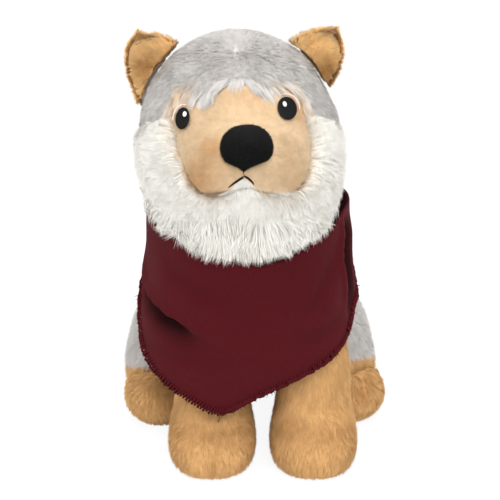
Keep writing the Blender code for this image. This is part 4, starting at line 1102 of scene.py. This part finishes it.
# Legs: down the leg, then forwards over the paw; painted shade darkens the crease above the toes and the creases of the
# hind paws
PAW_CREASE = 0.0215
TAN_EDGE = {"left": 0.0265, "right": 0.0310}
TOE_SEAMS = {"left": (-0.0192, 0.0018), "right": (0.0276, 0.0018)}
HIND_CREASES = {"left": (-0.0477, -0.0279, 0.0232), "right": (0.0533, -0.0251, 0.0214)}


def haunch_colour(edge):
    def colour(p, n):
        """Grey, and tan below a line where it meets the paw."""
        grey = blend_colours(GREY, GREY_DARK, 0.05 + 0.12 * value_noise(p, 150.0, 34)[:, 0])
        slope = 0.344 * np.minimum(p[:, 1], 0.012) + 1.6 * np.maximum(p[:, 1] - 0.012, 0)
        return mixed(grey, leg_colour("left")(p, n), step(edge - p[:, 2] - slope, -0.0008, 0.0008))

    return colour


def leg_comb(p, n):
    paw = step(0.034 - p[:, 2], 0.0, 0.014)
    forward = -0.30 * paw * step(-p[:, 1], 0.044, 0.084)
    return np.stack([np.zeros(len(p)), forward, np.full(len(p), -1.0)], 1)


def leg_colour(side):
    seam, width = TOE_SEAMS[side]

    def colour(p, n):
        front = step(-p[:, 1], 0.070, 0.084)
        # painted shade in the crease above the toes
        crease = np.exp(-(((p[:, 2] - PAW_CREASE) / 0.0030) ** 2)) * step(-p[:, 1], 0.060, 0.075)
        toe = np.exp(-(((p[:, 0] - seam) / width) ** 2)) * step(0.016 - p[:, 2], 0.0, 0.004) * front
        streak = value_noise(p * np.array([1.0, 1.0, 0.15]), 560.0, 61)[:, 0] * 0.14
        patch = value_noise(p, 110.0, 62)[:, 0] * 0.10
        # painted shade in the hind paws' creases
        hind = patches(p, [(HIND_CREASES[side], 0.0048, 0.45)])
        return blend_colours(TAN, TAN_DARK, 0.12 + 0.30 * crease + 0.22 * toe + streak + patch + hind)

    return colour


for side in ("left", "right"):
    plush(side + "_foreleg", "tan", 56000, constant(0.0046), constant(0.36), fill=0.8, width=0.00036,
          keep=lambda p, n: off_floor(p, n) * (p[:, 2] < 0.078), comb=leg_comb, colour=leg_colour(side),
          obstacles=cloth, tightness=0.40, mottle=0.05)
    plush(side + "_haunch", "grey", 34000, constant(0.0060), constant(0.36), fill=0.8, width=0.00040,
          keep=off_floor, comb=towards(0, 0.35, -1), colour=haunch_colour(TAN_EDGE[side]), obstacles=cloth)
    plush(side + "_hind_paw", "tan", 22000, constant(0.0046), constant(0.36), fill=0.8, width=0.00038,
          keep=off_floor, comb=leg_comb, colour=leg_colour(side), tightness=0.45, mottle=0.08)

# Tail
TAIL_LINE = PLAN_SHIFT + [
    (0.000, 0.066, 0.026), (0.010, 0.084, 0.019), (0.024, 0.096, 0.0155), (0.040, 0.099, 0.0150),
    (0.055, 0.092, 0.0145),
]


def tail_comb(p, n):
    ahead = unit(np.diff(TAIL_LINE, axis=0))
    middle = (TAIL_LINE[1:] + TAIL_LINE[:-1]) / 2
    near = np.exp(-np.sum((p[:, None, :] - middle[None]) ** 2, axis=2) / 0.012**2)
    return (near[:, :, None] * ahead[None]).sum(1)


def tail_height(p, n):
    """The pile lies flat on the tail's blunt end."""
    return 0.36 - 0.26 * step(n @ unit(TAIL_LINE[-1] - TAIL_LINE[-2]), 0.1, 0.7)


plush("tail", "grey", 12000, constant(0.0095), tail_height, fill=0.7, width=0.00046, keep=off_floor, comb=tail_comb,
      colour=crown_colour, clump=0.0034, tightness=0.45, knees=True)


# Floor, light and camera
def camera_sees(look):
    """1 for rays that make the background: from the camera, or through gloss or glass."""
    path = look.add("LightPath").outputs
    gloss_or_glass = look.maths("MAXIMUM", path["Is Glossy Ray"], path["Is Transmission Ray"])
    return look.maths("MAXIMUM", path["Is Camera Ray"], gloss_or_glass)


def stage_floor():
    look = Look("studio_floor")
    look.tree.nodes.remove(look.shader)
    diffuse = look.add("BsdfDiffuse", {"Color": (0.86, 0.86, 0.86)}).outputs["BSDF"]
    glow = look.add("Emission", {"Strength": 1.06}).outputs["Emission"]
    share = look.maths("MULTIPLY", camera_sees(look), 0.86)
    both = look.add("MixShader", {"Fac": share, 1: diffuse, 2: glow}).outputs["Shader"]
    look.set(look.tree.nodes["Material Output"], {"Surface": both})
    mesh = bpy.data.meshes.new("studio_floor")
    mesh.from_pydata([(-6, -6, -0.0003), (6, -6, -0.0003), (6, 6, -0.0003), (-6, 6, -0.0003)], [], [(0, 1, 2, 3)])
    link("studio_floor", mesh, look.owner)


def studio_world():
    look = Tree(bpy.data.worlds.new("studio"))
    bpy.context.scene.world = look.owner
    strength = look.add("MapRange", {"To Min": WORLD_LIGHT, "To Max": 1.0, "Value": camera_sees(look)})
    background = look.tree.nodes["Background"]
    look.set(background, {"Strength": strength.outputs["Result"], "Color": (1.0, 1.0, 1.0)})


def lamp(name, spot, size, energy):
    data = bpy.data.lights.new(name, "AREA")
    data.shape = "SQUARE"
    data.size = size
    data.energy = energy
    made = bpy.data.objects.new(name, data)
    bpy.context.scene.collection.objects.link(made)
    made.location = spot
    made.rotation_euler = (Vector(LAMP_AIM) - Vector(spot)).to_track_quat("-Z", "Y").to_euler()


WORLD_LIGHT = 0.56
LAMP_AIM = (0, 0, 0.1)
stage_floor()
studio_world()
lamp("key", (0.35, -1.55, 1.35), 1.1, 29.0)
lamp("above", (0.0, 0.1, 1.7), 1.3, 20.0)
lamp("fill", (-1.3, -1.0, 0.7), 1.2, 7.0)

ELEVATION = math.radians(19)
target = Vector((float(PLAN_SHIFT[0]), float(PLAN_SHIFT[1]), 0.092))
camera_data = bpy.data.cameras.new("camera")
camera_data.lens = 144.0
camera_data.sensor_width = 36.0
camera_data.clip_start = 0.05
camera = bpy.data.objects.new("camera", camera_data)
bpy.context.scene.collection.objects.link(camera)
camera.location = target + Vector((0, -math.cos(ELEVATION), math.sin(ELEVATION)))
camera.rotation_euler = (target - camera.location).to_track_quat("-Z", "Y").to_euler()
bpy.context.scene.camera = camera
bpy.context.scene.view_settings.view_transform = "Standard"
